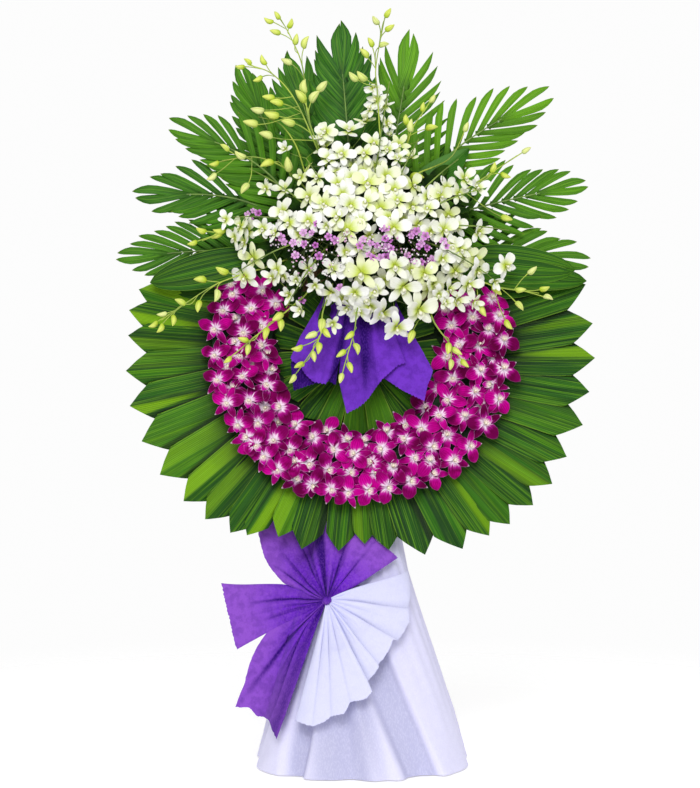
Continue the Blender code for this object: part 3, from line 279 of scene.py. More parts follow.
# Filler flowers: piece, node, the twigs' root in metres, florets (right, up) and patches of tiny buds
# (middle, half size, how many), in millimetres
FILLERS = [
    (
        "florets_left", "filler_flowers_left", (-0.110, 0.235),
        [
            (-65, 221), (-51, 213), (-94, 207), (-118, 208), (-101, 230), (-86, 181), (-91, 251), (-119, 232),
            (-41, 119), (-125, 100), (-246, 297), (-233, 303), (-221, 295), (-239, 285), (-169, 228), (-162, 218),
            (-142, 213), (-137, 186),
        ],
        [(-95, 178, 60, 58, 74), (-30, 218, 28, 14, 18), (-172, 227, 22, 26, 14)],
    ),
    (
        "florets_right", "filler_flowers_right", (0.110, 0.230),
        [
            (52, 238), (60, 238), (10, 216), (57, 216), (66, 215), (2, 200), (26, 206), (39, 202), (60, 200),
            (70, 197), (22, 183), (31, 176), (47, 176), (59, 180), (71, 187), (115, 233), (125, 235), (144, 225),
            (113, 223), (136, 210), (130, 204), (148, 202), (183, 215), (189, 206), (105, 183), (119, 174),
            (136, 172), (144, 168), (156, 176), (160, 180),
        ],
        [(115, 203, 56, 38, 66), (40, 205, 40, 30, 20)],
    ),
]

# Broad leaves: piece, node, root right and up, direction, length, width, height
BROAD_LEAVES = [
    ("broad_left", "broad_leaf_left", -0.1305, 0.240, 180, 0.24, 0.105, 0.0205),
    ("broad_right", "broad_leaf_right", 0.086, 0.300, 43, 0.22, 0.080, 0.0600),
]
BROAD_CLIMB = 0.008

# Blades behind the fronds: root and tip (right, up) and width
BACKING_BLADES = [
    (-0.120, 0.225, -0.345, 0.262, 0.070), (-0.120, 0.260, -0.330, 0.345, 0.074),
    (-0.115, 0.285, -0.292, 0.425, 0.078),
    (-0.105, 0.300, -0.235, 0.490, 0.080), (-0.080, 0.305, -0.165, 0.530, 0.078),
    (-0.050, 0.305, -0.090, 0.560, 0.072),
    (0.000, 0.305, 0.030, 0.565, 0.074), (0.060, 0.305, 0.120, 0.500, 0.072), (0.105, 0.300, 0.205, 0.470, 0.074),
    (0.120, 0.280, 0.285, 0.405, 0.076), (0.120, 0.255, 0.325, 0.300, 0.074), (0.120, 0.225, 0.330, 0.225, 0.066),
    (-0.120, 0.190, -0.430, 0.176, 0.080), (0.120, 0.185, 0.440, 0.196, 0.080),
    (-0.120, 0.162, -0.410, 0.132, 0.070), (0.120, 0.162, 0.410, 0.140, 0.070),
]
BACKING_HEIGHT = 0.0240
# Broad leaves laid over the lowest fronds: root, tip, width and height
FRONT_BLADES = [
    (-0.205, 0.206, -0.462, 0.146, 0.084, 0.062), (0.215, 0.180, 0.506, 0.150, 0.070, 0.058),
    (0.215, 0.200, 0.480, 0.174, 0.088, 0.062),
]
# How far along the painted shade towards the root the backing blades and the front blades begin; higher means less
# shade
BLADES_LIT = (0.56, 0.80)

# The skirt's sections from top to hem: height, middle, half width, front, back, widest y, squareness, pleat depth
SKIRT_ROWS = [
    (0.550, 0.000, 0.088, -0.0905, 0.1405, 0.000, 4.0, 0.0015),
    (0.510, 0.001, 0.092, -0.0960, 0.1500, -0.006, 3.9, 0.0020),
    (0.430, 0.002, 0.107, -0.1180, 0.1680, -0.016, 3.6, 0.0032),
    (0.330, 0.004, 0.137, -0.1490, 0.1900, -0.030, 3.3, 0.0046),
    (0.220, 0.006, 0.171, -0.1850, 0.2140, -0.045, 2.9, 0.0060),
    (0.110, 0.008, 0.206, -0.2230, 0.2390, -0.045, 2.6, 0.0075),
    (0.002, 0.010, 0.236, -0.2600, 0.2600, -0.040, 2.3, 0.0090),
]
SKIRT_TOP = 0.550
SKIRT_HEM = 0.002
SKIRT_GATHER = -0.045
SKIRT_KICK = 0.012
# The shaded front panel: its middle, half width and strength
SKIRT_PANEL = (-0.024, 0.088, 1.00)
# The front's folds at the hem, from the middle: place, depth, how fast it runs to the gather, and how wide it stays
SKIRT_FOLDS = [
    (-0.232, 0.002, 1.80, 0.8), (-0.194, 0.006, 2.30, 0.6), (-0.150, -0.022, 2.70, 0.4), (-0.1417, -0.024, 2.85, 0.3),
    (-0.118, 0.007, 2.90, 0.2), (-0.070, 0.000, 2.90, 0.2), (-0.0265, -0.014, 2.90, 0.2), (0.0246, 0.006, 2.90, 0.2),
    (0.050, 0.000, 2.88, 0.2), (0.078, 0.005, 2.85, 0.2), (0.110, -0.024, 2.75, 0.3), (0.135, -0.028, 2.50, 0.4),
    (0.160, -0.018, 2.05, 0.6), (0.1735, 0.007, 1.85, 0.8), (0.200, 0.003, 1.55, 1.2), (0.232, 0.003, 1.10, 2.2),
]
BACK_FOLDS = [
    -0.012, 0.005, -0.014, 0.006, 0.0, -0.010, 0.006, 0.005, 0.007, 0.000, 0.006, -0.010, 0.006, -0.014, 0.006, -0.012
]
CORD_RADIUS = 0.003

CLOTH_THICKNESS = 0.0012
LOBE_LIFT = 0.0138
LOBE_LEAVE = 0.100
LOBE_CALM = 160
LOBE_CREASE = 0.46
LOBE_HOLD = {"white_fan": 0.24}
BOW_SHIFT = (0.0045, 0.0, -0.0062)
FOLD_DEPTH = 0.0062
BOW_FRAY = 0.0022

# Each violet lobe of the bow: its node, ribs (direction and reach from the knot, swing at the knot, depth),
# puff, gathers (waves, size, reach), and its cut
VIOLET_LOBES = [
    (
        "upper_lobe", "bow_lobe_upper",
        [
            (30, 0.180, -9, 0.000), (45, 0.170, 0, 0.006), (50, 0.168, 0, 0.001), (66, 0.170, 0, 0.008),
            (71, 0.176, 0, 0.001), (88, 0.190, 0, 0.007), (94, 0.196, 0, 0.000), (110, 0.206, 0, 0.009),
            (117, 0.210, 0, 0.002), (126, 0.213, 4, 0.007), (134, 0.223, 6, 0.010), (141, 0.190, 7, 0.010),
            (149, 0.158, 8, 0.009), (155, 0.128, 6, 0.007), (162, 0.100, 2, 0.004),
        ],
        0.003, ((7, 0.0036, 0.115), (12, 0.0026, 0.080)), (0.33, 0.22), 0.052,
    ),
    (
        "left_lobe", "bow_lobe_left",
        [
            (172.3, 0.2363, -26, 0.001), (177, 0.230, -16, 0.007), (184, 0.224, -8, 0.002), (191, 0.220, -4, 0.007),
            (197, 0.221, 0, 0.002), (204, 0.224, 2, 0.007), (209.5, 0.228, 4, 0.003),
        ],
        0.002, ((3, 0.0036, 0.130), (7, 0.0026, 0.090)), (0.17, 0.23), 0.030,
    ),
    (
        "lower_lobe", "bow_lobe_lower",
        [
            (206, 0.120, 4, 0.001), (210, 0.155, 2, 0.004), (215.3, 0.192, 0, 0.006), (222, 0.235, -3, 0.005),
            (226, 0.262, -6, 0.003), (229.7, 0.3116, -8, 0.001), (234.5, 0.2936, -10, 0.006),
            (239.6, 0.3005, -14, 0.002), (244.2, 0.2893, -20, 0.001), (244.8, 0.292, -20, 0.009),
            (249.8, 0.312, -2, 0.011),
        ],
        0.002, ((3, 0.0036, 0.130), (7, 0.0026, 0.095)), (0.16, 0.31), 0.036,
    ),
]
WHITE_FAN = (
    "white_fan", "bow_fan_white",
    [
        (-104.9, 0.2593, 0, 0.002), (-100, 0.2600, 0, 0.009), (-96.5, 0.2598, 0, 0.002), (-91.1, 0.2489, 0, 0.009),
        (-87.4, 0.2367, 0, 0.004), (-80.5, 0.2335, 0, 0.011), (-76.1, 0.2134, 0, 0.006), (-66.8, 0.2169, 0, 0.012),
        (-62.2, 0.2100, 0, 0.014), (-61.6, 0.1870, 0, 0.000), (-54.0, 0.1800, 0, 0.006), (-50.2, 0.1767, 0, 0.011),
        (-49.6, 0.1720, 0, 0.002), (-38.0, 0.1690, 0, 0.007), (-28.6, 0.1650, 2, 0.012), (-28.0, 0.1740, 2, 0.002),
        (-14.3, 0.1855, 4, 0.007), (-5.9, 0.1800, 8, 0.012), (-5.2, 0.1790, 8, 0.002), (7.0, 0.1843, 11, 0.007),
        (18.9, 0.1884, 13, 0.004),
    ],
    0.0025, ((9, 0.0026, 0.070), (19, 0.0012, 0.045)), (0.40, 0.26), 0.056,
)

# Swags, in metres: their top edge, their rise and their pinked teeth
SWAG_TOP = 0.1994
SWAG_RISE = 0.25
SWAG_FLAT = 0.110
SWAG_TOOTH = 0.0030
SWAG_PINK = 0.008
SWAG_STEP = 0.0003
SWAG_CALM = 110
# Shaded bands: place across from -1 to 1, width, strength and how far down
CLOTH_SHADES = {
    "left_swag": [(1.0, 0.45, 0.95, 1.4), (-0.98, 0.10, 0.5, 1.4)],
    "behind_swag": [(0.0, 9.0, 0.92, 1.9)],
    "middle_swag": [(-0.20, 0.20, 0.95, 1.10), (-1.0, 0.20, 0.85, 1.1), (0.30, 0.07, 0.6, 0.85),
                    (0.0, 9.0, 0.50, 0.72)],
    "right_swag": [(-0.9, 0.35, 0.6, 1.0), (0.1, 0.08, 0.4, 0.9)],
    "upper_lobe": [(0.05, 0.10, 0.75, 1.3), (0.22, 0.06, 0.6, 1.2), (-0.45, 0.06, 0.55, 0.9), (0.62, 0.05, 0.5, 0.8)],
    "left_lobe": [(0.45, 0.10, 0.6, 0.85), (-0.35, 0.08, 0.5, 0.8)],
    "lower_lobe": [(0.90, 0.15, 0.60, 2.0), (0.10, 0.10, 0.6, 0.9), (-0.5, 0.08, 0.5, 0.8)],
}
# Each swag: piece, ribs (start along the top, end right and up, depth, in millimetres), height, seed, flat size,
# area and nodes
SWAGS = [
    (
        "left_swag",
        [
            (-52, -86, 78, 0), (-46, -128, 23, 6), (-42, -149, -27, 4), (-38, -146, -34, 2), (-34, -127, -47, 5),
            (-30, -118, -64, 2), (-26, -99, -83, 7), (-20, -83, -86, 3), (-14, -72, -88, 7), (-8, -60, -72, 1),
            (-2, -34, -20, 0),
        ],
        0.046, 21, (0.18, 0.27), 0.030, ("swag_left",),
    ),
    (
        "behind_swag",
        [(-44, -149, -38, 0), (-40, -142, -101, 3), (-32, -100, -86, 0), (-24, -66, -78, 3), (-18, -50, -88, 0)],
        0.037, 22, (0.12, 0.30), 0.022, (),
    ),
    (
        "middle_swag",
        [
            (-22, -42, -60, 0), (-18, -41, -90, 2), (-12, -26, -155, 6), (-6, -3, -143, 1), (0, 12, -132, 8),
            (6, 22, -121, 12), (12, 42, -90, 4), (18, 52, -77, 10), (26, 86, -46, 6), (32, 103, -40, 12),
            (38, 92, -20, 8), (44, 80, 6, 2),
        ],
        0.050, 23, (0.21, 0.35), 0.043, ("swag_middle",),
    ),
    (
        "right_swag",
        [
            (20, 46, -66, 0), (24, 96, -102, 5), (28, 143, -126, 2), (32, 147, -107, 5), (36, 151, -89, 2),
            (40, 158, -73, 6), (44, 163, -56, 2), (50, 145, -22, 6), (56, 106, 22, 0),
        ],
        0.044, 24, (0.16, 0.36), 0.034, ("swag_right",),
    ),
]

# Shapes of leaves, buds and heads: a leaflet bend is its lean, bend and phase, a profile (distance, radius),
# and a head's form its openness, phase, the petals' fullness and the lip's size
CREASE_ANGLE = math.radians(72)
LEAF_THICKNESS = 0.0009
LEAFLET_LENGTHS = ((0.0, 0.96), (0.25, 1.0), (0.60, 0.86), (0.85, 0.81), (1.0, 0.79))
LEAFLET_BENDS = ((0.34, 0.008, 0.3), (0.42, 0.003, 1.9), (0.28, 0.012, 3.6))
LEAFLET_CLOSING = (0.55, 0.36)
BARE_SHARE = 0.14
MIDRIB_TIP = 0.0013
INNER_ROLL = math.radians(3.0)
BUD_PROFILE = ((0, 0.12), (0.04, 0.52), (0.13, 0.86), (0.30, 1.0), (0.54, 0.90), (0.77, 0.60), (0.93, 0.28),
               (1, 0.05))
TINY_BUD = ((0, 0.0003), (0.0009, 0.0017), (0.0026, 0.0023), (0.0042, 0.0016), (0.0050, 0.0003))
PURPLE_FORMS = ((1.0, 0.3, 0.70), (0.93, 1.7, 0.78), (0.97, 2.9, 0.64), (0.90, 4.1, 0.72), (1.0, 5.3, 0.75))
WHITE_FORMS = (
    (1.0, 0.4, 0.80, 0.46), (0.86, 1.6, 0.64, 0.54), (0.72, 2.8, 0.74, 0.50), (0.56, 4.4, 0.62, 0.46),
    (0.94, 5.5, 0.88, 0.60), (0.64, 7.1, 0.82, 0.56), (0.80, 8.3, 0.70, 0.44),
)
HALF_OPEN_FORMS = ((0.10, 0.9), (0.34, 3.3))
RING_TRIES = 4000
WHITE_TRIES = 6000
WHITE_DEEP = 30
FILLING_LEAVES = 230

# Main stems of the white flowers: their root in the block, then each one's direction, reach and height
MOUND_ROOT = (0.010, 0.255)
MAIN_STEMS = (
    (100, 0.20, 0.115), (128, 0.22, 0.12), (150, 0.30, 0.12), (172, 0.30, 0.115), (196, 0.30, 0.112),
    (222, 0.24, 0.115), (248, 0.15, 0.098), (270, 0.14, 0.098), (292, 0.15, 0.098), (318, 0.20, 0.105),
    (342, 0.27, 0.12), (2, 0.31, 0.12), (22, 0.27, 0.13), (40, 0.26, 0.135), (62, 0.24, 0.14), (82, 0.35, 0.125),
)

# Cloth and cord
LOBE_START = 0.0075
LOBE_STEP = 0.7
FOLD_MARGIN = 0.004
FOLD_SPACING = 0.0012
CORD_HEIGHT = 0.538
CORD_TWISTS = 48

# Finishes of carried-over nodes: nodes, name, light and dark shade, stretch, roughness, patch and grain scale,
# metallic and depth of the grain
NODE_FINISHES = (
    ("front_leg_left front_leg_right back_leg", "pale_timber", (206, 172, 124), (170, 132, 86), (1.0, 1.0, 0.10),
     0.72, 60, 260, 0.0, 0.0006),
    ("lower_crossbar upper_rail lower_rail", "crosswise_timber", (204, 170, 122), (168, 130, 84), (0.10, 1.0, 1.0),
     0.72, 60, 260, 0.0, 0.0006),
    ("back_brace", "lengthwise_timber", (202, 168, 120), (166, 128, 82), (1.0, 0.10, 1.0),
     0.72, 60, 260, 0.0, 0.0006),
    ("backing_board", "pressed_board", (168, 132, 92), (132, 100, 66), (1.0, 1.0, 1.0), 0.78, 70, 420, 0.0, 0.0006),
    ("foam_horseshoe foam_block", "flower_foam", (24, 60, 30), (12, 34, 16), (1.0, 1.0, 1.0),
     0.95, 90, 700, 0.0, 0.001),
    ("foam_tray", "green_tray", (24, 60, 36), (16, 44, 26), (1.0, 1.0, 1.0), 0.45, 30, 500, 0.0, 0.0002),
    ("top_bolt", "zinc_steel", (196, 198, 200), (160, 162, 166), (1.0, 0.1, 1.0), 0.36, 80, 900, 1.0, 0.0001),
)
FLORET_FINISHES = (
    ("floret_petal", (170, 60, 160), (212, 128, 214)), ("floret_cup", (70, 24, 60), (96, 40, 84)),
    ("tiny_white_bud", (214, 220, 196), (248, 246, 244)), ("tiny_pink_bud", (214, 120, 180), (232, 168, 208)),
)

# The studio: each light's name, place, size and power, and the strength of the surroundings
LIGHTS = (
    ("key", (-0.4, -3.6, 3.0), 2.0, 94.0), ("fill", (2.6, -3.0, 1.6), 2.4, 14.0), ("back", (0.6, 3.2, 2.8), 2.4, 40.0)
)
LIGHT_TARGET = (0.0, 0.0, 0.9)
WORLD_LIGHT = 0.50
WORLD_SEEN = 0.98

SOCKET_SORTS = {"Geometry": "NodeSocketGeometry", "Shader": "NodeSocketFloat"}


def linear(red, green, blue):
    """A colour as seen, 0 to 255, in the linear numbers that shaders use."""
    shares = (value / 255 for value in (red, green, blue))
    return (*(v / 12.92 if v <= 0.04045 else ((v + 0.055) / 1.055) ** 2.4 for v in shares), 1.0)


def stack(*parts):
    """Coordinates or marks, spread to one grid, as its last axis."""
    return np.stack(np.broadcast_arrays(*parts), axis=-1)


def heading(degrees):
    """The unit vector of a direction, from the right round by up."""
    return np.array([math.cos(math.radians(degrees)), math.sin(math.radians(degrees))])


def unit(vectors):
    vectors = np.asarray(vectors, float)
    return vectors / np.maximum(np.linalg.norm(vectors, axis=-1, keepdims=True), 1e-12)


def on_wreath(points):
    """Points given as right, up and out of the wreath's plane, in the frame."""
    right, up, out = np.moveaxis(np.asarray(points, float), -1, 0)
    cos, sin = math.cos(LEAN), math.sin(LEAN)
    x, y, z = WREATH_MIDDLE
    return stack(x + right, y - out * cos + up * sin, z + out * sin + up * cos)


WREATH_TURN = Matrix(((1, 0, 0), (0, math.sin(LEAN), -math.cos(LEAN)), (0, math.cos(LEAN), math.sin(LEAN))))


# ---- node trees ----


def plug(sockets, key):
    """A socket by its name, among those in use."""
    return next(s for s in sockets if s.name == key and s.enabled)


def connect(tree, value, target):
    """Links a socket to an input, or sets the input to a value; None leaves it as it is."""
    if isinstance(value, bpy.types.NodeSocket):
        tree.links.new(value, target)
    elif value is not None:
        target.default_value = value


def put(tree, kind, *values, **named):
    """A new node: capitalised names are its inputs, with _ for a space, and the others are its settings."""
    made = tree.nodes.new(kind)
    for key, value in named.items():
        if key[0].islower():
            setattr(made, key, value)
    for number, value in enumerate(values):
        connect(tree, value, made.inputs[number])
    for key, value in named.items():
        if key[0].isupper():
            connect(tree, value, plug(made.inputs, key.replace("_", " ")))
    return made


def add(tree, kind, *values, out=None, **named):
    """The named output of a new node, or its first."""
    made = put(tree, kind, *values, **named)
    return plug(made.outputs, out) if out else next(s for s in made.outputs if s.enabled)


def calc(tree, operation, *values):
    return add(tree, "ShaderNodeMath", *values, operation=operation)


def vector(tree, operation, *values, **named):
    return add(tree, "ShaderNodeVectorMath", *values, operation=operation, **named)


def attribute(tree, name, data_type="FLOAT"):
    return add(tree, "GeometryNodeInputNamedAttribute", Name=name, data_type=data_type)


def random_value(tree, seed, low=None, high=None, data_type="FLOAT"):
    return add(tree, "FunctionNodeRandomValue", Min=low, Max=high, Seed=seed, data_type=data_type)


def new_tree(name, kind, inputs, outputs):
    """A node group with named inputs and outputs; gives the tree, its input sockets and its output node."""
    tree = bpy.data.node_groups.new(name, kind + "NodeTree")
    for label in outputs:
        tree.interface.new_socket(label, in_out="OUTPUT", socket_type=SOCKET_SORTS[kind])
    for label, sort, value in inputs:
        made = tree.interface.new_socket(label, in_out="INPUT", socket_type="NodeSocket" + sort)
        if value is not None:
            made.default_value = value
    start = tree.nodes.new("NodeGroupInput")
    return tree, {s.name: s for s in start.outputs if s.name}, tree.nodes.new("NodeGroupOutput")


def heads_and_stems(tree, heads, stem, radius, sides, material, end, forward=None):
    """Joins instances with a tube along a curve, makes all of it real and gives the tube its own material."""
    ring = add(tree, "GeometryNodeCurvePrimitiveCircle", Resolution=sides, Radius=1.0)
    stem = add(tree, "GeometryNodeCurveToMesh", Curve=stem, Profile_Curve=ring, Scale=radius, Fill_Caps=True)
    stem = add(
        tree, "GeometryNodeStoreNamedAttribute", Geometry=stem, Name="is_stem", Value=True, data_type="BOOLEAN",
        domain="FACE",
    )
    if forward:
        stem = add(tree, "GeometryNodeSetPosition", Geometry=stem, Offset=forward)
    both = tree.nodes.new("GeometryNodeJoinGeometry")
    for part in [*heads, add(tree, "GeometryNodeSetShadeSmooth", Geometry=stem)]:
        tree.links.new(part, both.inputs[0])
    real = add(tree, "GeometryNodeRealizeInstances", both.outputs[0])
    chosen = attribute(tree, "is_stem", "BOOLEAN")
    final = add(tree, "GeometryNodeSetMaterial", Geometry=real, Selection=chosen, Material=material)
    tree.links.new(final, end.inputs[0])
    return tree


def picked(tree, shapes, points, which, turn, size, tint_seed):
    """One of several shapes on each point, turned and sized, with a tint of its own."""
    shapes = add(
        tree, "GeometryNodeCollectionInfo", Collection=shapes, Separate_Children=True, Reset_Children=True
    )
    made = add(
        tree, "GeometryNodeInstanceOnPoints", Points=points, Instance=shapes, Pick_Instance=True,
        Instance_Index=which, Rotation=turn, Scale=size,
    )
    return add(
        tree, "GeometryNodeStoreNamedAttribute", Geometry=made, Name="tint", Value=random_value(tree, tint_seed),
        data_type="FLOAT", domain="INSTANCE",
    )


def set_out_tree():
    """Sets out heads on points, turned and sized by the points' own attributes, and makes paths into stems."""
    tree, given, end = new_tree(
        "set_out_heads", "Geometry",
        [
            ("Geometry", "Geometry", None), ("Shapes", "Collection", None), ("Stem Sides", "Int", 5),
            ("Stem Material", "Material", None), ("Places", "Object", None), ("Size Spread", "Float", 0.06),
            ("Seed", "Int", 1),
        ],
        ["Geometry"],
    )
    places = add(tree, "GeometryNodeObjectInfo", Object=given["Places"], out="Geometry")
    low, high = (calc(tree, way, 1.0, given["Size Spread"]) for way in ("SUBTRACT", "ADD"))
    size = calc(tree, "MULTIPLY", attribute(tree, "size"), random_value(tree, given["Seed"], low, high))
    turn = add(tree, "FunctionNodeEulerToRotation", Euler=attribute(tree, "turn", "FLOAT_VECTOR"))
    heads = picked(tree, given["Shapes"], places, attribute(tree, "kind", "INT"), turn, size, given["Seed"])
    stems = add(tree, "GeometryNodeMeshToCurve", Mesh=given["Geometry"])
    thick = attribute(tree, "thick")
    return heads_and_stems(tree, [heads], stems, thick, given["Stem Sides"], given["Stem Material"], end)


def frond_tree():
    """A palm frond along a path: a tapering midrib, with a leaflet on each side of every station."""
    tree, given, end = new_tree(
        "palm_frond", "Geometry",
        [
            ("Geometry", "Geometry", None), ("Leaflets", "Collection", None), ("Leaflets a Side", "Int", 18),
            ("Bare Share", "Float", 0.15), ("Leaflet Length", "Float", 0.128), ("Leaflet Width", "Float", 1.0),
            ("Sweep at Base", "Float", 0.95), ("Sweep at Tip", "Float", 0.22), ("Closing", "Float", 0.35),
            ("Tip Growth", "Float", 1.1), ("Midrib Radius", "Float", 0.0034),
            ("Facing", "Vector", (0.0, -1.0, 0.0)), ("Seed", "Int", 1), ("Midrib Material", "Material", None),
        ],
        ["Geometry"],
    )
    path = add(tree, "GeometryNodeMeshToCurve", Mesh=given["Geometry"])
    trimmed = add(tree, "GeometryNodeTrimCurve", path, None, given["Bare Share"], 1.0)
    stations = add(tree, "GeometryNodeResampleCurve", Curve=trimmed, Count=given["Leaflets a Side"])
    factor = add(tree, "GeometryNodeSplineParameter", out="Factor")
    tangent = add(tree, "GeometryNodeInputTangent")
    across = vector(tree, "NORMALIZE", vector(tree, "CROSS_PRODUCT", given["Facing"], tangent))
    length = put(tree, "ShaderNodeFloatCurve", Value=factor)
    curve = length.mapping.curves[0]
    curve.points[0].location, curve.points[-1].location = LEAFLET_LENGTHS[0], LEAFLET_LENGTHS[-1]
    for place, value in LEAFLET_LENGTHS[1:-1]:
        curve.points.new(place, value)
    length.mapping.update()
    reach = calc(tree, "MULTIPLY", length.outputs[0], given["Leaflet Length"])
    closing = calc(tree, "POWER", calc(tree, "SUBTRACT", 1.0, factor), given["Closing"])
    sweep = add(
        tree, "ShaderNodeMapRange", Value=closing, To_Min=given["Sweep at Tip"], To_Max=given["Sweep at Base"]
    )
    growth = add(
        tree, "ShaderNodeMapRange", Value=factor, From_Min=0.92, To_Min=1.0, To_Max=given["Tip Growth"]
    )
    width = calc(tree, "MULTIPLY", given["Leaflet Width"], growth)
    rows = []
    for number, side in enumerate((-1.0, 1.0)):
        seed = calc(tree, "ADD", given["Seed"], 7.0 * number)
        near, far, roll_seed, pick_seed = (calc(tree, "ADD", seed, n) for n in (11.0, 57.0, 31.0, 83.0))
        angle = calc(tree, "ADD", sweep, random_value(tree, seed, -0.045, 0.045))
        forward = vector(tree, "SCALE", tangent, Scale=calc(tree, "COSINE", angle))
        sideways = vector(tree, "SCALE", across, Scale=calc(tree, "MULTIPLY", calc(tree, "SINE", angle), side))
        roll = calc(tree, "MULTIPLY_ADD", side, 0.10, random_value(tree, roll_seed, -0.25, 0.25))
        turn = add(
            tree, "FunctionNodeAxesToRotation", Primary_Axis=vector(tree, "ADD", forward, sideways),
            Secondary_Axis=vector(tree, "ADD", given["Facing"], vector(tree, "SCALE", across, Scale=roll)),
            primary_axis="Y", secondary_axis="Z",
        )
        long = calc(tree, "MULTIPLY", reach, random_value(tree, far, 0.93, 1.05))
        size = add(tree, "ShaderNodeCombineXYZ", X=width, Y=long, Z=1.0)
        which = random_value(tree, pick_seed, 3 * number, 3 * number + 2, "INT")
        rows.append(picked(tree, given["Leaflets"], stations, which, turn, size, near))
    taper = add(tree, "ShaderNodeMapRange", Value=factor, To_Min=given["Midrib Radius"], To_Max=MIDRIB_TIP)
    front = vector(tree, "SCALE", given["Facing"], Scale=FRONT_OF_MIDRIB)
    return heads_and_stems(tree, rows, path, taper, 8, given["Midrib Material"], end, front)


def grow(name, host, tree, values):
    """Runs a geometry tree on a host object, keeps the result as a plain mesh, and removes the host."""
    modifier = host.modifiers.new("grow", "NODES")
    modifier.node_group = tree
    for item in tree.interface.items_tree:
        if item.item_type == "SOCKET" and item.in_out == "INPUT" and item.name in values:
            modifier[item.identifier] = values[item.name]
    graph = bpy.context.evaluated_depsgraph_get()
    evaluated = host.evaluated_get(graph)
    mesh = bpy.data.meshes.new_from_object(evaluated, preserve_all_data_layers=True, depsgraph=graph)
    mesh.name = name
    bpy.data.objects.remove(host)
    return in_scene(bpy.data.objects.new(name, mesh))


# ---- mesh shapes ----


def in_scene(made):
    bpy.context.scene.collection.objects.link(made)
    return made


def set_mark(mesh, key, values):
    """Stores a number, a whole number or a vector at each point of a mesh."""
    values = np.asarray(values)
    kind = "FLOAT_VECTOR" if values.ndim == 2 else "INT" if values.dtype.kind == "i" else "FLOAT"
    made = mesh.attributes.new(key, kind, "POINT")
    flat = values.ravel().astype(np.int32 if kind == "INT" else float)
    made.data.foreach_set("vector" if values.ndim == 2 else "value", flat)


def mesh_object(name, shape, materials, hidden=False):
    """A smooth mesh object from a shape, with its marks as the point attribute called blade."""
    points, marks, faces, slots = shape
    mesh = bpy.data.meshes.new(name)
    mesh.from_pydata(points.tolist(), [], faces.tolist())
    set_mark(mesh, "blade", marks)
    for material in materials:
        mesh.materials.append(material)
    mesh.polygons.foreach_set("material_index", slots.astype(np.int32))
    mesh.polygons.foreach_set("use_smooth", np.ones(len(faces), bool))
    mesh.update()
    mesh.set_sharp_from_angle(angle=CREASE_ANGLE)
    made = bpy.data.objects.new(name, mesh)
    return made if hidden else in_scene(made)


def shape_set(name, shapes, materials):
    """A collection, outside the scene, of the shapes that a tree picks from."""
    made = bpy.data.collections.new(name)
    for number, shape in enumerate(shapes):
        made.objects.link(mesh_object(f"{name}_{number}", shape, materials, hidden=True))
    return made


def outward_mesh(piece):
    """Turns a closed mesh's faces outwards."""
    form = bmesh.new()
    form.from_mesh(piece.data)
    bmesh.ops.recalc_face_normals(form, faces=form.faces)
    form.to_mesh(piece.data)
    form.free()


def loose(name, points, edges=(), **attributes):
    """Points in the frame, or paths of edges, with attributes."""
    mesh = bpy.data.meshes.new(name)
    mesh.from_pydata(np.asarray(points, float).tolist(), list(edges), [])
    for key, values in attributes.items():
        set_mark(mesh, key, values)
    return bpy.data.objects.new(name, mesh)


def paths_object(name, paths, radii):
    """Paths as edges, with the radius at every point; a path is a list of points in the frame."""
    edges, first = [], 0
    for path in paths:
        edges.extend((first + i, first + i + 1) for i in range(len(path) - 1))
        first += len(path)
    thick = [np.broadcast_to(np.asarray(radius, float), (len(path),)) for path, radius in zip(paths, radii)]
    return in_scene(loose(name, np.concatenate(paths), edges, thick=np.concatenate(thick)))


def joined(shapes):
    """Several shapes as one; a shape is its points, its marks, its faces and each face's material number."""
    starts = np.cumsum([0] + [len(shape[0]) for shape in shapes])
    points, marks, faces, slots = zip(*shapes)
    faces = [face + start for face, start in zip(faces, starts)]
    return tuple(np.concatenate(part) for part in (points, marks, faces, slots))


def moved(shape, matrix):
    points, *rest = shape
    return (points @ np.array(matrix.to_3x3()).T + np.array(matrix.translation), *rest)


def quads(*corners):
    return np.stack(corners, axis=-1).reshape(-1, 4)


def numbered(rows, columns, first=0):
    return first + np.arange(rows * columns).reshape(rows, columns)


def thin_leaf(upper, marks, thickness=LEAF_THICKNESS, slot=0):
    """A closed thin leaf from the grid of its upper side; the lower side shares the grid's border."""
    rows, columns, _ = upper.shape
    top = numbered(rows, columns)
    under = top.copy()
    under[1:-1, 1:-1] = numbered(rows - 2, columns - 2, rows * columns)
    normal = unit(np.cross(np.gradient(upper, axis=1), np.gradient(upper, axis=0)))
    lower = (upper - normal * thickness)[1:-1, 1:-1]
    faces = np.concatenate([
        quads(top[:-1, :-1], top[:-1, 1:], top[1:, 1:], top[1:, :-1]),
        quads(under[:-1, :-1], under[1:, :-1], under[1:, 1:], under[:-1, 1:]),
    ])
    points = np.concatenate([upper.reshape(-1, 3), lower.reshape(-1, 3)])
    marks = np.concatenate([marks.reshape(-1, 3), marks[1:-1, 1:-1].reshape(-1, 3)])
    return points, marks, faces, np.full(len(faces), slot)


def outline(t, rise, fall, base):
    """A leaf's half width along its length, 1 at its widest and never narrower than base at its root."""
    widest = rise / (rise + fall)
    peak = widest**rise * (1 - widest) ** fall
    shape = np.clip(t, 0, 1) ** rise * np.clip(1 - t, 0, 1) ** fall / peak
    return np.maximum(shape, base * np.clip(1 - t * 4, 0, 1) + 0.02)


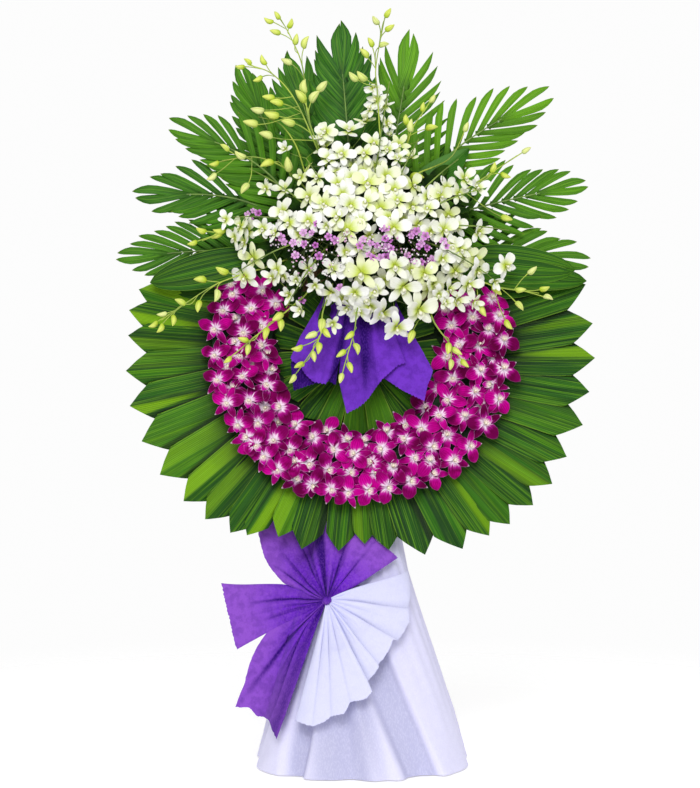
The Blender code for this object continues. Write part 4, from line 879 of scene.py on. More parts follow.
def petal(length, width, rise, fall, cup=0.0, bend=0.0, ripple=0.0, phase=0.0, across=4, along=5,
          thickness=0.0007, mark=0.0):
    """One petal, growing along +Y and facing +Z."""
    t = np.sin(np.linspace(0, 1, along + 1) * np.pi / 2)[:, None]
    a = np.linspace(-1, 1, across + 1)[None, :]
    z = cup * width * a**2 * np.sin(np.pi * np.clip(t, 0, 1)) ** 0.5
    z = z + bend * length * t**2 + ripple * width * np.sin(7 * t + phase + 2 * a) * a**2
    z = z - 0.05 * width * np.exp(-((a / 0.2) ** 2)) * (1 - t)
    half = outline(t, rise, fall, 0.14) * width / 2
    return thin_leaf(stack(a * half, length * t, z), stack(a, t, mark), thickness)


def leaflet(halves, lean, bend, phase):
    """A palm leaflet of length 1: keeled, rooted a little behind the midrib, and cut obliquely to a point."""
    t, half = np.array(halves).T[:, :, None]
    a, half = np.linspace(-1, 1, 5)[None, :], half * LEAFLET_WIDTH / 2
    point = np.clip((t - 0.70) / 0.30, 0, 1)
    x = a * half + lean * LEAFLET_WIDTH * point**1.5 + bend * t**2
    z = 0.16 * half * (1 - np.abs(a)) * 2 - 0.007 * t**2 + 0.0012 * np.sin(4 * t + phase)
    return thin_leaf(stack(x, -LEAFLET_BACK + (1 + LEAFLET_BACK) * t, z), stack(a, t, 0.0), 0.0007)


def lip(length, width, wrap):
    """An orchid's lip: its base curls up round the column, and its front lobe spreads flat."""
    t, a = np.linspace(0, 1, 5)[:, None], np.linspace(-1, 1, 6)[None, :]
    angle = wrap * (1 - t) ** 1.4 + 0.30
    radius = width / 2 * np.clip(outline(t, 0.35, 0.55, 0.55), 0.06, 1) / angle
    z = radius * (1 - np.cos(angle * a)) - 0.32 * length * t**2.2
    upper = stack(radius * np.sin(angle * a), length * t * (1 - 0.12 * t), z)
    return thin_leaf(upper, stack(a, t, 0.0), 0.0006, slot=1)


def end_fan(row):
    """The quads that close a ring of points."""
    return np.array([(row[0], row[i], row[i + 1], row[i + 2]) for i in range(1, len(row) - 2, 2)])


def turned_shape(profile, sides, slot=0):
    """A closed round shape along +Y from (distance, radius) pairs; its first and last radius are tiny."""
    distance, radius = np.array(profile).T[:, :, None]
    angle = np.linspace(0, 2 * np.pi, sides, endpoint=False)
    rings = stack(radius * np.cos(angle), distance, -radius * np.sin(angle))
    marks = stack(np.cos(angle), (distance - distance[0]) / (distance[-1] - distance[0]), np.sin(angle))
    index = numbered(len(profile), sides)
    ahead = np.roll(index, -1, axis=1)
    walls = quads(ahead[:-1], ahead[1:], index[1:], index[:-1])
    faces = np.concatenate([walls, end_fan(index[0]), end_fan(index[-1])[:, ::-1]])
    return rings.reshape(-1, 3), marks.reshape(-1, 3), faces, np.full(len(faces), slot)


def petal_place(degrees, pitch, lift, start=0.0015):
    """Where a petal goes on its head: the direction it points in, and how far it tips towards the front."""
    turn, tip = Matrix.Rotation(math.radians(degrees - 90), 4, "Z"), Matrix.Rotation(math.radians(pitch), 4, "X")
    return turn @ Matrix.Translation((0, start, lift)) @ tip


def orchid_head(width, openness, phase, blades, lip_size, lip_wrap=2.3):
    """A dendrobium head facing +Z, its lip towards -Y: petals, lip and column in material slots 0, 1 and 2."""
    reach, closed, wave = width / 2, (1 - openness) * 62, math.sin(phase * 5.0) * 7
    sepal_width, sepal_fall, petal_width, petal_fall = blades
    shapes = []
    for number, (degrees, pitch) in enumerate(((90, -6 + wave), (230, -12 - wave), (-50, -8 + wave))):
        shape = petal(
            reach * (0.98 + 0.06 * math.sin(phase + number * 2)), reach * sepal_width, 0.62, sepal_fall, cup=-0.07,
            bend=-0.12 - 0.10 * math.sin(phase * 2 + number), ripple=0.035, phase=phase + number,
            thickness=0.012 * width, mark=1.0,
        )
        turn = degrees + 6 * math.sin(phase * 3 + number * 1.9)
        shapes.append(moved(shape, petal_place(turn, pitch + closed, -0.0012)))
    for number, (degrees, pitch) in enumerate(((22 + wave * 0.8, 3 + wave), (158 + wave * 0.7, 4 - wave))):
        shape = petal(
            reach * (1.0 + 0.04 * math.sin(phase * 2.3 + number)), reach * petal_width, 0.80, petal_fall, cup=0.07,
            bend=-0.12 + 0.14 * math.sin(phase * 1.7 + number * 3), ripple=0.07, phase=phase * 2 + number,
            thickness=0.012 * width,
        )
        shapes.append(moved(shape, petal_place(degrees, pitch + closed, 0.0006)))
    front = lip(reach * lip_size, reach * lip_size * 0.92, lip_wrap)
    shapes.append(moved(front, petal_place(-90, 30 + closed * 0.3, 0.0010, -0.0012)))
    column = turned_shape([(0, 0.0012), (0.0048, 0.0024), (0.0078, 0.0030), (0.0094, 0.0007)], 8, 2)
    shapes.append(moved(column, petal_place(-90, 64, 0.0016, -0.0004)))
    return joined(shapes)


def bud(length, radius, hook):
    """A bud with its pedicel's end at the origin: broad and humped near its base, pointed and hooked ahead."""
    shape = turned_shape([(length * d, radius * r) for d, r in BUD_PROFILE], 8)
    points = shape[0]
    share = points[:, 1] / length
    points[:, 0] += hook * length * (share**2 - share)
    points[:, 2] -= 0.12 * radius * np.sin(np.pi * np.clip(share * 2.2, 0, 1))
    return shape


def floret():
    """A small five-petalled flower with a dark cup."""
    shapes = []
    for number in range(5):
        bend = 0.10 * math.sin(number * 2.4)
        shape = petal(0.0080, 0.0070, 0.7, 0.40, cup=0.10, bend=bend, across=2, along=3, thickness=0.0004)
        place = petal_place(90 + 72 * number, 8 + 5 * math.sin(number * 2.0), 0.0, 0.0012)
        shapes.append(moved(shape, place))
    cup = turned_shape([(0, 0.0004), (0.0012, 0.0024), (0.0022, 0.0019), (0.0024, 0.0004)], 6, 1)
    return joined([*shapes, moved(cup, Matrix.Rotation(math.radians(90), 4, "X"))])


def smooth_path(points, steps):
    """Points on a Catmull-Rom curve through the given ones."""
    points = np.asarray(points, float)
    ends = np.concatenate([[2 * points[0] - points[1]], points, [2 * points[-1] - points[-2]]])
    path = []
    for a, b, c, d in zip(ends, ends[1:], ends[2:], ends[3:]):
        for t in (k / steps for k in range(steps)):
            cubic = (3 * b - a - 3 * c + d) * t**3
            path.append(0.5 * (2 * b + (c - a) * t + (2 * a - 5 * b + 4 * c - d) * t**2 + cubic))
    return np.array([*path, points[-1]])


def facing_turn(face, up):
    """The Euler turn, on the wreath, of a shape that faces one way with its +Y as near as can be to another."""
    face, up = Vector(face).normalized(), Vector(up)
    up = (up - face * up.dot(face)).normalized()
    return tuple((WREATH_TURN @ Matrix((up.cross(face), up, face)).transposed()).to_euler())


def pointing_turn(way, face):
    """The Euler turn, on the wreath, of a shape whose +Y goes exactly one way, facing as near as can be another."""
    way, face = Vector(way).normalized(), Vector(face)
    face = (face - way * face.dot(way)).normalized()
    return tuple((WREATH_TURN @ Matrix((way.cross(face), way, face)).transposed()).to_euler())


# ---- materials ----


def vein_group():
    """Fine lines that run along a leaf or petal, drawn from its own marks."""
    tree, given, end = new_tree(
        "blade_veins", "Shader",
        [
            ("Across", "Float", 0.0), ("Along", "Float", 0.0), ("Tint", "Float", 0.0), ("Line Count", "Float", 12.0),
            ("Streak Length", "Float", 2.0), ("Margin Width", "Float", 0.08),
        ],
        ["Lines", "Streaks", "Margin"],
    )
    across, count = given["Across"], given["Line Count"]
    wave = calc(tree, "COSINE", calc(tree, "MULTIPLY", across, calc(tree, "MULTIPLY", count, math.pi)))
    lines = calc(tree, "POWER", calc(tree, "MULTIPLY_ADD", wave, 0.5, 0.5), 3.0)
    spot = add(
        tree, "ShaderNodeCombineXYZ",
        calc(tree, "MULTIPLY", across, calc(tree, "MULTIPLY", count, 0.55)),
        calc(tree, "MULTIPLY", given["Along"], given["Streak Length"]),
        calc(tree, "MULTIPLY", given["Tint"], 37.0),
    )
    streaks = add(tree, "ShaderNodeTexNoise", Vector=spot, Scale=1.0, Detail=3.0, Roughness=0.6, out="Fac")
    edge = calc(tree, "SUBTRACT", 1.0, calc(tree, "ABSOLUTE", across))
    margin = add(
        tree, "ShaderNodeMapRange", Value=edge, From_Min=0.0, From_Max=given["Margin Width"], To_Min=1.0, To_Max=0.0
    )
    for socket, value in zip(end.inputs, (lines, streaks, margin)):
        tree.links.new(value, socket)
    return tree


def patch_group():
    """Soft and fine patches of lighter and darker colour over a surface."""
    tree, given, end = new_tree(
        "soft_patches", "Shader",
        [("Patch Scale", "Float", 12.0), ("Grain Scale", "Float", 220.0), ("Stretch", "Vector", (1.0, 1.0, 1.0))],
        ["Patch", "Grain"],
    )
    place = vector(tree, "MULTIPLY", add(tree, "ShaderNodeTexCoord", out="Object"), given["Stretch"])
    for socket, scale, detail in zip(end.inputs, ("Patch Scale", "Grain Scale"), (3.0, 4.0)):
        made = add(tree, "ShaderNodeTexNoise", Vector=place, Scale=given[scale], Detail=detail, out="Fac")
        tree.links.new(made, socket)
    return tree


VEINS = vein_group()
PATCHES = patch_group()


class Finish:
    """A material in the making: its shader, the marks of its surface, and colours laid one over another."""

    def __init__(self, name, roughness, coat=0.0, sheen=0.0, specular=0.5, metallic=0.0):
        self.material = bpy.data.materials.new(name)
        self.material.use_nodes = True
        self.tree = self.material.node_tree
        self.shader = self.tree.nodes["Principled BSDF"]
        self.body = None
        self.shade(Roughness=roughness, Coat_Weight=coat, Coat_Roughness=0.25, Sheen_Weight=sheen,
                   Specular_IOR_Level=specular, Metallic=metallic)

    def shade(self, **inputs):
        """Links or sets the shader's own sockets."""
        for key, value in inputs.items():
            connect(self.tree, value, self.shader.inputs[key.replace("_", " ")])

    def attribute(self, name, out="Fac"):
        return add(self.tree, "ShaderNodeAttribute", attribute_name=name, out=out)

    def marks(self):
        """Across, along and a third mark of a blade, and the tint of the whole blade."""
        parts = put(self.tree, "ShaderNodeSeparateXYZ", self.attribute("blade", "Vector"))
        return (*parts.outputs, self.attribute("tint"))

    def group(self, tree, **inputs):
        return put(self.tree, "ShaderNodeGroup", node_tree=tree, **inputs).outputs

    def veins(self, marks, lines, streak, margin):
        """Veins from three marks: across, along and tint."""
        across, along, tint = marks
        return self.group(VEINS, Across=across, Along=along, Tint=tint, Line_Count=lines, Streak_Length=streak,
                          Margin_Width=margin)

    def patches(self, patch, grain, stretch=None):
        return self.group(PATCHES, Patch_Scale=patch, Grain_Scale=grain, Stretch=stretch)

    def fade(self, value, low, high, start=0.0, end=1.0):
        """A number that runs from start to end while the value runs from low to high, eased."""
        return add(self.tree, "ShaderNodeMapRange", Value=value, From_Min=low, From_Max=high, To_Min=start,
                   To_Max=end, interpolation_type="SMOOTHSTEP")

    def calc(self, operation, *values):
        return calc(self.tree, operation, *values)

    def times(self, value, factor, more=None):
        """A product, with more added to it."""
        if more is None:
            return self.calc("MULTIPLY", value, factor)
        return self.calc("MULTIPLY_ADD", value, factor, more)

    def start(self, share, first, second):
        """The first colour, between two."""
        self.body = add(self.tree, "ShaderNodeMix", Factor=share, A=linear(*first), B=linear(*second),
                        data_type="RGBA")

    def over(self, share, *colour):
        """Lays a colour over what is there."""
        self.body = add(self.tree, "ShaderNodeMix", Factor=share, A=self.body, B=linear(*colour), data_type="RGBA")

    def done(self, height, distance):
        """Links the colour and the bump, and gives the material."""
        bump = add(self.tree, "ShaderNodeBump", Height=height, Distance=distance, Strength=1.0)
        self.shade(Base_Color=self.body, Normal=bump)
        return self.material


def purple_petal():
    """Magenta petal: a white star that streaks out of its base, dark veins, thin pale rims, white sepal points."""
    f = Finish("purple_petal", 0.70, specular=0.04)
    across, along, sepal, tint = f.marks()
    lines, streaks, margin = f.veins((across, along, tint), 6.0, 1.2, 0.13)
    patch, grain = f.patches(22.0, 500.0)
    f.start(f.fade(patch, 0.36, 0.64), (116, 0, 70), (206, 0, 148))
    f.over(f.fade(tint, 0.45, 1.0, 0.0, 0.85), 88, 0, 50)
    f.over(f.times(lines, 0.40), 92, 0, 62)
    f.over(f.fade(along, 0.55, 1.0, 0.0, 0.35), 126, 0, 96)
    reach = f.times(streaks, 0.60, f.calc("SUBTRACT", along, 0.30))
    f.over(f.fade(reach, 0.14, 0.54, 0.80, 0.0), 216, 34, 180)
    f.over(f.fade(reach, 0.07, 0.31, 1.0, 0.0), 255, 238, 255)
    f.over(f.times(margin, f.times(sepal, 0.46, 0.12)), 240, 150, 228)
    f.over(f.times(f.fade(along, 0.86, 0.98), f.times(sepal, 0.80, 0.04)), 255, 222, 248)
    return f.done(f.times(lines, 0.7, grain), 0.0003)


def purple_lip():
    """The lip: a white throat, and a magenta front lobe with dark veins and a pale rim."""
    f = Finish("purple_lip", 0.60, specular=0.08)
    across, along, _, tint = f.marks()
    lines, _, margin = f.veins((across, along, tint), 5.0, 2.0, 0.22)
    f.start(f.fade(along, 0.30, 0.72), (254, 244, 236), (196, 0, 160))
    f.over(f.times(lines, 0.40), 130, 0, 100)
    f.over(f.times(margin, 0.70), 252, 226, 248)
    return f.done(lines, 0.0003)


def column_finish(name, shade, cap):
    f = Finish(name, 0.45, sheen=0.05)
    patch, grain = f.patches(120.0, 700.0)
    f.start(f.fade(f.marks()[1], 0.2, 0.85), shade, cap)
    f.over(f.times(patch, 0.25), 236, 222, 160)
    return f.done(grain, 0.0002)


def white_petal():
    """White petal with a yellow-green heart, faint veins and a touch of green or cream."""
    f = Finish("white_petal", 0.60, specular=0.10)
    across, along, _, tint = f.marks()
    lines, streaks, _ = f.veins((across, along, tint), 5.0, 1.4, 0.06)
    patch, grain = f.patches(18.0, 500.0)
    f.start(f.fade(patch, 0.35, 0.70), (255, 255, 252), (246, 247, 236))
    f.over(f.fade(tint, 0.45, 1.0, 0.0, 0.66), 238, 246, 170)
    f.over(f.times(lines, 0.10), 214, 222, 190)
    heart = f.times(streaks, 0.26, f.calc("SUBTRACT", along, 0.13))
    f.over(f.fade(heart, 0.02, 0.60, 1.0, 0.0), 206, 224, 72)
    return f.done(f.times(lines, 0.5, grain), 0.0003)


def white_lip():
    f = Finish("white_lip", 0.5, sheen=0.1)
    across, along, _, tint = f.marks()
    lines = f.veins((across, along, tint), 4.0, 2.0, 0.2)[0]
    f.start(f.fade(along, 0.15, 0.85), (196, 208, 84), (250, 250, 238))
    f.over(f.times(lines, 0.25), 190, 196, 90)
    return f.done(lines, 0.0003)


def strap_leaf(name, inside=0.0, deep=0.0):
    """Collar leaf: close parallel veins, long lighter and darker streaks, a painted highlight on one half, painted
    shadow along an edge, painted shade towards its root and over leaves set deep.
    """
    f = Finish(name, 0.50, specular=0.20)
    across, along, mark, tint = f.marks()
    lines, streaks, margin = f.veins((across, along, tint), 22.0, 1.6, 0.05 + 0.06 * inside)
    broad = f.veins((across, along, tint), 5.0, 1.1, 0.2)[1]
    patch, grain = f.patches(9.0, 260.0)
    f.start(f.fade(broad, 0.40, 0.60), (16, 64, 4), (46, 110, 6))
    f.over(f.fade(tint, 0.50, 1.0, 0.0, 0.85), 80, 140, 8)
    f.over(f.fade(tint, 0.0, 0.45, 0.60, 0.0), 12, 58, 8)
    f.over(f.times(f.fade(streaks, 0.46, 0.62), 0.46), 112, 172, 14)
    # painted highlight on the lit half of the leaf
    f.over(f.fade(mark, 0.0, 1.0, 0.0, 0.85), 140, 194, 8)
    f.over(f.times(f.fade(patch, 0.5, 0.75), 0.22), 30, 86, 12)
    f.over(f.times(lines, 0.42), 10, 50, 2)
    f.over(f.times(margin, 0.50 + 0.35 * inside), 150, 192, 60)
    # painted shadow along the edge that lies under the next leaf
    f.over(f.fade(mark, -0.85, 0.0, 0.80, 0.0), 6, 30, 2)
    # painted shade towards the root: collar leaves lie under the flowers there, inner leaves under the swags
    f.over(f.fade(along, 0.52, 0.84, 0.88 * (1 - inside), 0.0), 7, 30, 3)
    f.over(f.fade(along, 0.30, 0.66, 0.80 * inside, 0.0), 9, 38, 4)
    # deep: painted shade over the whole of leaves that lie deep
    f.over(deep, 8, 36, 4)
    f.shade(Roughness=f.fade(grain, 0.2, 0.8, 0.44, 0.62))
    return f.done(f.times(lines, -0.8, f.times(grain, 0.4)), 0.0006)


def dark_leaf():
    """Broad dark leaf with a paler rim and midrib, slanting veins, and painted sheen on one half of the right one."""
    f = Finish("dark_leaf", 0.50, specular=0.12)
    across, along, _, tint = f.marks()
    aside = f.calc("ABSOLUTE", across)
    lines = f.veins((f.times(aside, -0.35, along), across, tint), 34.0, 1.0, 0.2)[0]
    rim = f.veins((across, along, tint), 3.0, 1.0, 0.12)[2]
    patch, grain = f.patches(16.0, 300.0)
    f.start(f.fade(patch, 0.35, 0.65), (28, 80, 4), (48, 110, 10))
    # painted sheen: one half of the leaf with the higher tint, the right one, is lighter
    f.over(f.times(f.fade(across, 0.0, 0.4, 0.0, 0.55), f.fade(tint, 0.64, 0.69)), 112, 164, 84)
    f.over(f.times(lines, 0.42), 84, 146, 36)
    f.over(f.times(tint, 0.20), 12, 50, 8)
    f.over(f.times(rim, 0.45), 70, 130, 34)
    f.over(f.fade(aside, 0.0, 0.09, 0.7, 0.0), 84, 132, 50)
    return f.done(f.times(lines, 0.6, grain), 0.0006)


# lit is the cloth's colour; fold is its darker colour, for mottle and for painted shade; thin is its paler colour,
# for fibres and for painted light
def cloth_finish(name, lit, fold, thin, painted_backlight_share, gathered=0.0, mottle=1.0):
    """Non-woven cloth: laid fibres, small cloudy patches, painted shade in its folds and where it is gathered,
    painted highlights on its crests, and painted light showing through its far part.
    """
    f = Finish(name, 0.86, sheen=0.04, specular=0.10)
    _, along, crest, _ = f.marks()
    cloud, fine = f.patches(60.0, 210.0)
    fibre, thread = f.patches(420.0, 1300.0, (1.0, 1.0, 0.28))
    # painted light showing through the thin cloth, stronger towards its far part
    f.start(f.fade(along, 0.20, 0.90, 0.0, painted_backlight_share), lit, thin)
    f.over(f.times(f.fade(fine, 0.44, 0.62), 0.30 * mottle), *thin)
    f.over(f.times(f.fade(cloud, 0.42, 0.62), 0.24 * mottle), *fold)
    # painted shade where the cloth is gathered
    f.over(f.fade(along, 0.0, 0.34, gathered, 0.0), *fold)
    # painted shade in the valleys of the folds, and in the shaded bands
    f.over(f.fade(crest, 0.06, 0.50, 0.95, 0.0), *fold)
    # painted highlight on the crests of the folds
    f.over(f.fade(crest, 0.62, 0.95, 0.0, 0.55 - 0.35 * mottle), *thin)
    f.over(f.times(f.fade(fibre, 0.46, 0.62), 0.20), *thin)
    f.over(f.times(f.fade(thread, 0.50, 0.64), 0.16), *fold)
    return f.done(f.times(fibre, 0.8, fine), 0.0004)


def petal_finish(name, heart, rim):
    """A floret's petals: deeper at the heart, paler at the rim."""
    f = Finish(name, 0.6, sheen=0.1, specular=0.3)
    _, along, _, tint = f.marks()
    patch, grain = f.patches(90.0, 700.0)
    f.start(f.fade(along, 0.15, 0.75), heart, rim)
    f.over(f.fade(tint, 0.25, 1.0, 0.0, 0.75), 238, 196, 236)
    f.over(f.times(patch, 0.3), *rim)
    return f.done(grain, 0.0002)


def grained(name, light, dark, stretch, roughness, patch_scale, grain_scale, metallic, depth):
    """Timber, board, foam, plastic or metal: streaks or grain between two shades."""
    f = Finish(name, roughness, specular=0.4, metallic=metallic)
    patch, grain = f.patches(patch_scale, grain_scale, stretch)
    f.start(f.fade(patch, 0.35, 0.65), dark, light)
    f.over(f.times(f.fade(grain, 0.35, 0.65), 0.35), *dark)
    f.shade(Roughness=f.fade(grain, 0.3, 0.7, roughness - 0.12, min(roughness + 0.15, 1.0)))
    return f.done(grain, depth)


def cord_finish():
    """Twisted white cord: fibres that lie across its strands."""
    f = Finish("cord", 0.85, sheen=0.2, specular=0.2)
    across, along, _, _ = f.marks()
    lines = f.veins((along, across, 0.0), 900.0, 3.0, 0.1)[0]
    f.start(f.times(lines, 0.3), (228, 226, 218), (178, 174, 164))
    return f.done(lines, 0.0003)


def palm_leaflet():
    """Palm leaflet: long pleat lines, painted light that is stronger on some fronds, a pale keel and a dry point."""
    f = Finish("palm_leaflet", 0.50, specular=0.24)
    across, along, _, tint = f.marks()
    lines, streaks, _ = f.veins((across, along, tint), 7.0, 2.0, 0.12)
    f.start(f.fade(streaks, 0.36, 0.62), (24, 84, 4), (66, 134, 8))
    # painted light: a lighter green over the streaks, as strong as each frond's painted light
    f.over(f.times(f.attribute("painted_light"), f.fade(streaks, 0.25, 0.70, 0.55, 0.95)), 116, 182, 8)
    f.over(f.times(tint, 0.40), 16, 74, 8)
    f.over(f.fade(f.calc("ABSOLUTE", across), 0.0, 0.14, 0.35, 0.0), 136, 184, 50)
    f.over(f.times(lines, 0.24), 10, 50, 2)
    f.over(f.fade(along, 0.0, 0.36, 0.50, 0.0), 10, 48, 3)
    f.over(f.fade(along, 0.95, 1.0, 0.0, 0.5), 150, 150, 60)
    return f.done(lines, 0.0004)


def stalk_finish(name, light, dark):
    """A green stalk, lighter and darker along its length, with fine ribs."""
    f = Finish(name, 0.45, coat=0.05)
    patch, grain = f.patches(30.0, 400.0, (1.0, 1.0, 0.4))
    f.start(f.fade(patch, 0.35, 0.65), dark, light)
    f.over(f.times(grain, 0.2), 206, 206, 140)
    return f.done(grain, 0.0003)


def bud_finish():
    """Green-yellow bud: greener at its base and along its seams, creamy over its body."""
    f = Finish("orchid_bud", 0.50, specular=0.25)
    around, along, turn, tint = f.marks()
    patch, grain = f.patches(60.0, 500.0)
    seam = f.calc("COSINE", f.times(f.calc("ARCTAN2", turn, around), 3.0))
    f.start(f.fade(along, 0.0, 0.60), (178, 204, 40), (226, 236, 112))
    f.over(f.fade(tint, 0.3, 1.0, 0.0, 0.6), 244, 246, 188)
    f.over(f.times(f.fade(seam, 0.78, 1.0), 0.50), 160, 192, 40)
    f.over(f.times(patch, 0.2), 206, 220, 84)
    return f.done(f.times(f.fade(seam, 0.75, 1.0), -0.6, grain), 0.0004)


# ---- flowers and leaves ----


def add_piece(piece, slot, *nodes):
    """Makes a piece ride on the body and stand for its CAD nodes; its slot is not used."""
    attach(piece, BODY)
    if nodes:
        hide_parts(*nodes)
    return piece


class Planting:
    """Heads on points, and stems on paths, of the wreath, that a tree grows into one piece."""

    def __init__(self):
        self.heads, self.paths, self.radii = [], [], []

    def head(self, place, turn, kind, size):
        self.heads.append((place, turn, kind, size))

    def stem(self, path, radius):
        self.paths.append(on_wreath(path))
        self.radii.append(radius)

    def grown(self, name, tree, shapes, stem_material, seed, spread, slot, *nodes):
        place, turn, kind, size = (np.array(column) for column in zip(*self.heads))
        places = loose(f"{name}_places", on_wreath(place), turn=turn, kind=kind, size=size)
        values = {"Shapes": shapes, "Places": places, "Stem Material": stem_material, "Seed": seed}
        piece = grow(name, paths_object(f"{name}_stems", self.paths, self.radii), tree,
                     {**values, "Size Spread": spread})
        bpy.data.objects.remove(places)
        return add_piece(piece, slot, *nodes)


def polar(degrees_from_down, reach):
    """Right and up, on the wreath's plane, of a place given by its direction from straight down."""
    angle = np.radians(degrees_from_down)
    return reach * np.sin(angle), -reach * np.cos(angle)


def strap(degrees, start, reach, width, seed, roll, seat, rise=True, point=COLLAR_POINT, columns=20, rows=26):
    """One collar leaf, pleated along its length, folded at its midrib and cut to a point."""
    rng = np.random.default_rng(seed)
    t, a = np.linspace(0, 1, rows + 1)[:, None], np.linspace(-1, 1, columns + 1)[None, :]
    side_on = np.abs(a)
    shoulder = (0.88 * side_on + 0.12 * side_on**3) * point * (width / COLLAR_WIDTH)
    far = start + (reach - shoulder - start) * t
    grow_out = np.clip((far - start + 0.035) / 0.20, 0, 1) ** 0.75
    half = width / 2 * grow_out
    x = a * half + 0.004 * np.sin(2.2 * t + seed) * t
    outer = np.clip((far - 0.28) / 0.16, 0, 1)
    fold = (COLLAR_FOLDS[0] + COLLAR_FOLDS[1] * outer) * (1 - side_on**1.1) * grow_out
    pleats = 0.0010 * np.cos(np.pi * a * 4.0) * grow_out + 0.00022 * np.cos(np.pi * a * 13)
    wave = 0.0030 * np.sin(5.0 * t + seed * 1.7 + 1.5 * a) * np.clip(t * 2 - 0.8, 0, 1)
    lifted = seat + fold + pleats + wave - np.tan(roll) * a * half
    # painted shade along both edges of a leaf inside the ring
    shade = np.clip(side_on - 0.8, 0, 0.2) * 2
    if rise:
        lifted = lifted + 0.0014 * rng.random()
        lifted = lifted + COLLAR_RISE * (np.clip(far - COLLAR_FLAT, 0, None) / 0.2) ** 1.5 * 0.86
        # painted shadow along the edge that lies under the next leaf
        edge = np.clip(2 * far * math.radians(9) / width - 1, -1, 1)
        shade = np.exp(-((np.clip(a - edge + 0.06, None, 0) / 0.13) ** 2))
    sin, cos = math.sin(math.radians(degrees)), math.cos(math.radians(degrees))
    upper = on_wreath(stack(far * sin + x * cos, -far * cos + x * sin, lifted))
    # a painted highlight on one half of the leaf, fading out towards its inner end
    lit_side = 1 if rng.random() > 0.5 else -1
    strength = max(rng.uniform(-0.25, 1.0), 0)
    painted_highlight = np.clip((a * lit_side + 0.02) / 0.08, 0, 1) * np.clip((1.06 - a * lit_side) / 0.20, 0, 1) * strength
    painted_highlight = painted_highlight * np.clip((far - 0.27) / 0.10, 0.0, 1)
    return thin_leaf(upper, stack(a, t, painted_highlight * (1 - shade) - 0.85 * shade)), rng.random()


def tinted(name, shapes, tints, materials, turned=True):
    """Joined leaves as one object, each with its own tint."""
    piece = mesh_object(name, joined(shapes), materials)
    if turned:
        outward_mesh(piece)
    set_mark(piece.data, "tint", np.repeat(np.array(tints, float), [len(shape[0]) for shape in shapes]))
    return piece


def collar_leaves(*materials):
    for bundle in range(len(COLLAR_TIPS) // LEAVES_IN_BUNDLE):
        made = []
        for number in range(bundle * LEAVES_IN_BUNDLE, (bundle + 1) * LEAVES_IN_BUNDLE):
            degrees, reach, width = COLLAR_TIPS[number]
            made.append(strap(degrees, COLLAR_START, reach, width, number + 3, COLLAR_ROLL, COLLAR_SEAT))
        for number, (degrees, reach, width, layer, tint) in enumerate(INNER_LEAVES):
            if np.clip(int((degrees + 126) // 36), 0, 6) == bundle:
                (*shape, slots), _ = strap(
                    degrees, 0.010, reach, width, 80 + number, INNER_ROLL, 0.0160 + 0.0022 * layer, rise=False,
                    point=0.022, columns=16, rows=22,
                )
                made.append(((*shape, slots + 1), tint))
        piece = tinted(f"strap_leaves_{bundle + 1}", *zip(*made), materials, turned=False)
        add_piece(piece, "collar_leaf", f"collar_leaves_{bundle + 1}")


def purple_ring(tree, materials, stem_material):
    """The purple heads, pinned in three rows in the foam horseshoe, in six bunches."""
    heads = [
        orchid_head(PURPLE_WIDTH, openness, phase, (0.43, 0.95, full, 0.82), 0.56)
        for openness, phase, full in PURPLE_FORMS
    ]
    shapes = shape_set("purple_head", heads, materials)
    rng = np.random.default_rng(12)
    bunches = [Planting() for _ in range(RING_BUNCHES)]
    spots = [(right / 1000, up / 1000, way, 0.0) for right, up, way in PURPLE_HEADS]
    for _ in range(RING_TRIES):
        degrees, reach = rng.uniform(*RING_SPAN), rng.uniform(0.196, 0.322)
        right, up = polar(degrees, reach)
        if min(math.hypot(right - spot[0], up - spot[1]) for spot in spots) > RING_ROOM:
            spots.append((float(right), float(up), rng.uniform(0, 360), RING_SUNK))
    for number, (right, up, way, sunk) in enumerate(spots):
        reach = math.hypot(right, up)
        degrees = math.degrees(math.atan2(right, -up))
        share = np.clip((reach - RING_REACH) / RING_HALF, -1, 1)
        out = RING_SEAT + RING_CROWN * (1 - share**2) + rng.uniform(-0.003, 0.004) - sunk
        tip = 0.42 * share
        face = Vector((right / reach * tip, up / reach * tip, 1.0))
        face += Vector((rng.uniform(-0.24, 0.24), rng.uniform(-0.20, 0.28), 0))
        turn = facing_turn(face, (*heading(way + 180 + rng.uniform(-8, 8)), 0))
        start, finish = RING_SPAN
        bunch = int(np.clip((degrees - start) / (finish - start) * RING_BUNCHES, 0, RING_BUNCHES - 0.001))
        foot = RING_REACH + 0.72 * (reach - RING_REACH)
        bunches[bunch].head((right, up, out), turn, number % 5, 0.95 + 0.10 * rng.random())
        back = np.array([right, up, out]) - unit(face) * 0.002
        bunches[bunch].stem([(right / reach * foot, up / reach * foot, 0.034), back], 0.0012)
    for number, bunch in enumerate(bunches):
        bunch.grown(f"purple_heads_{number + 1}", tree, shapes, stem_material, 40 + number, 0.04, "purple_petal",
                    f"purple_orchids_{number + 1}")


def mound_place(right, up):
    """How far out the white mound's surface stands here, and the share of its reach, 1 at its rim."""
    du, dv = right - MOUND_MIDDLE[0], up - MOUND_MIDDLE[1]
    turn = math.degrees(math.atan2(dv, du)) % 360 / 30
    low = int(turn) % 12
    reach = MOUND_REACH[low] * (1 - turn % 1) + MOUND_REACH[(low + 1) % 12] * (turn % 1)
    share = math.hypot(du, dv) / reach
    rise = (MOUND_FRONT - MOUND_BACK - MOUND_RIM) * max(1 - share**2, 0) ** 0.6 + MOUND_RIM
    return MOUND_BACK + rise, share


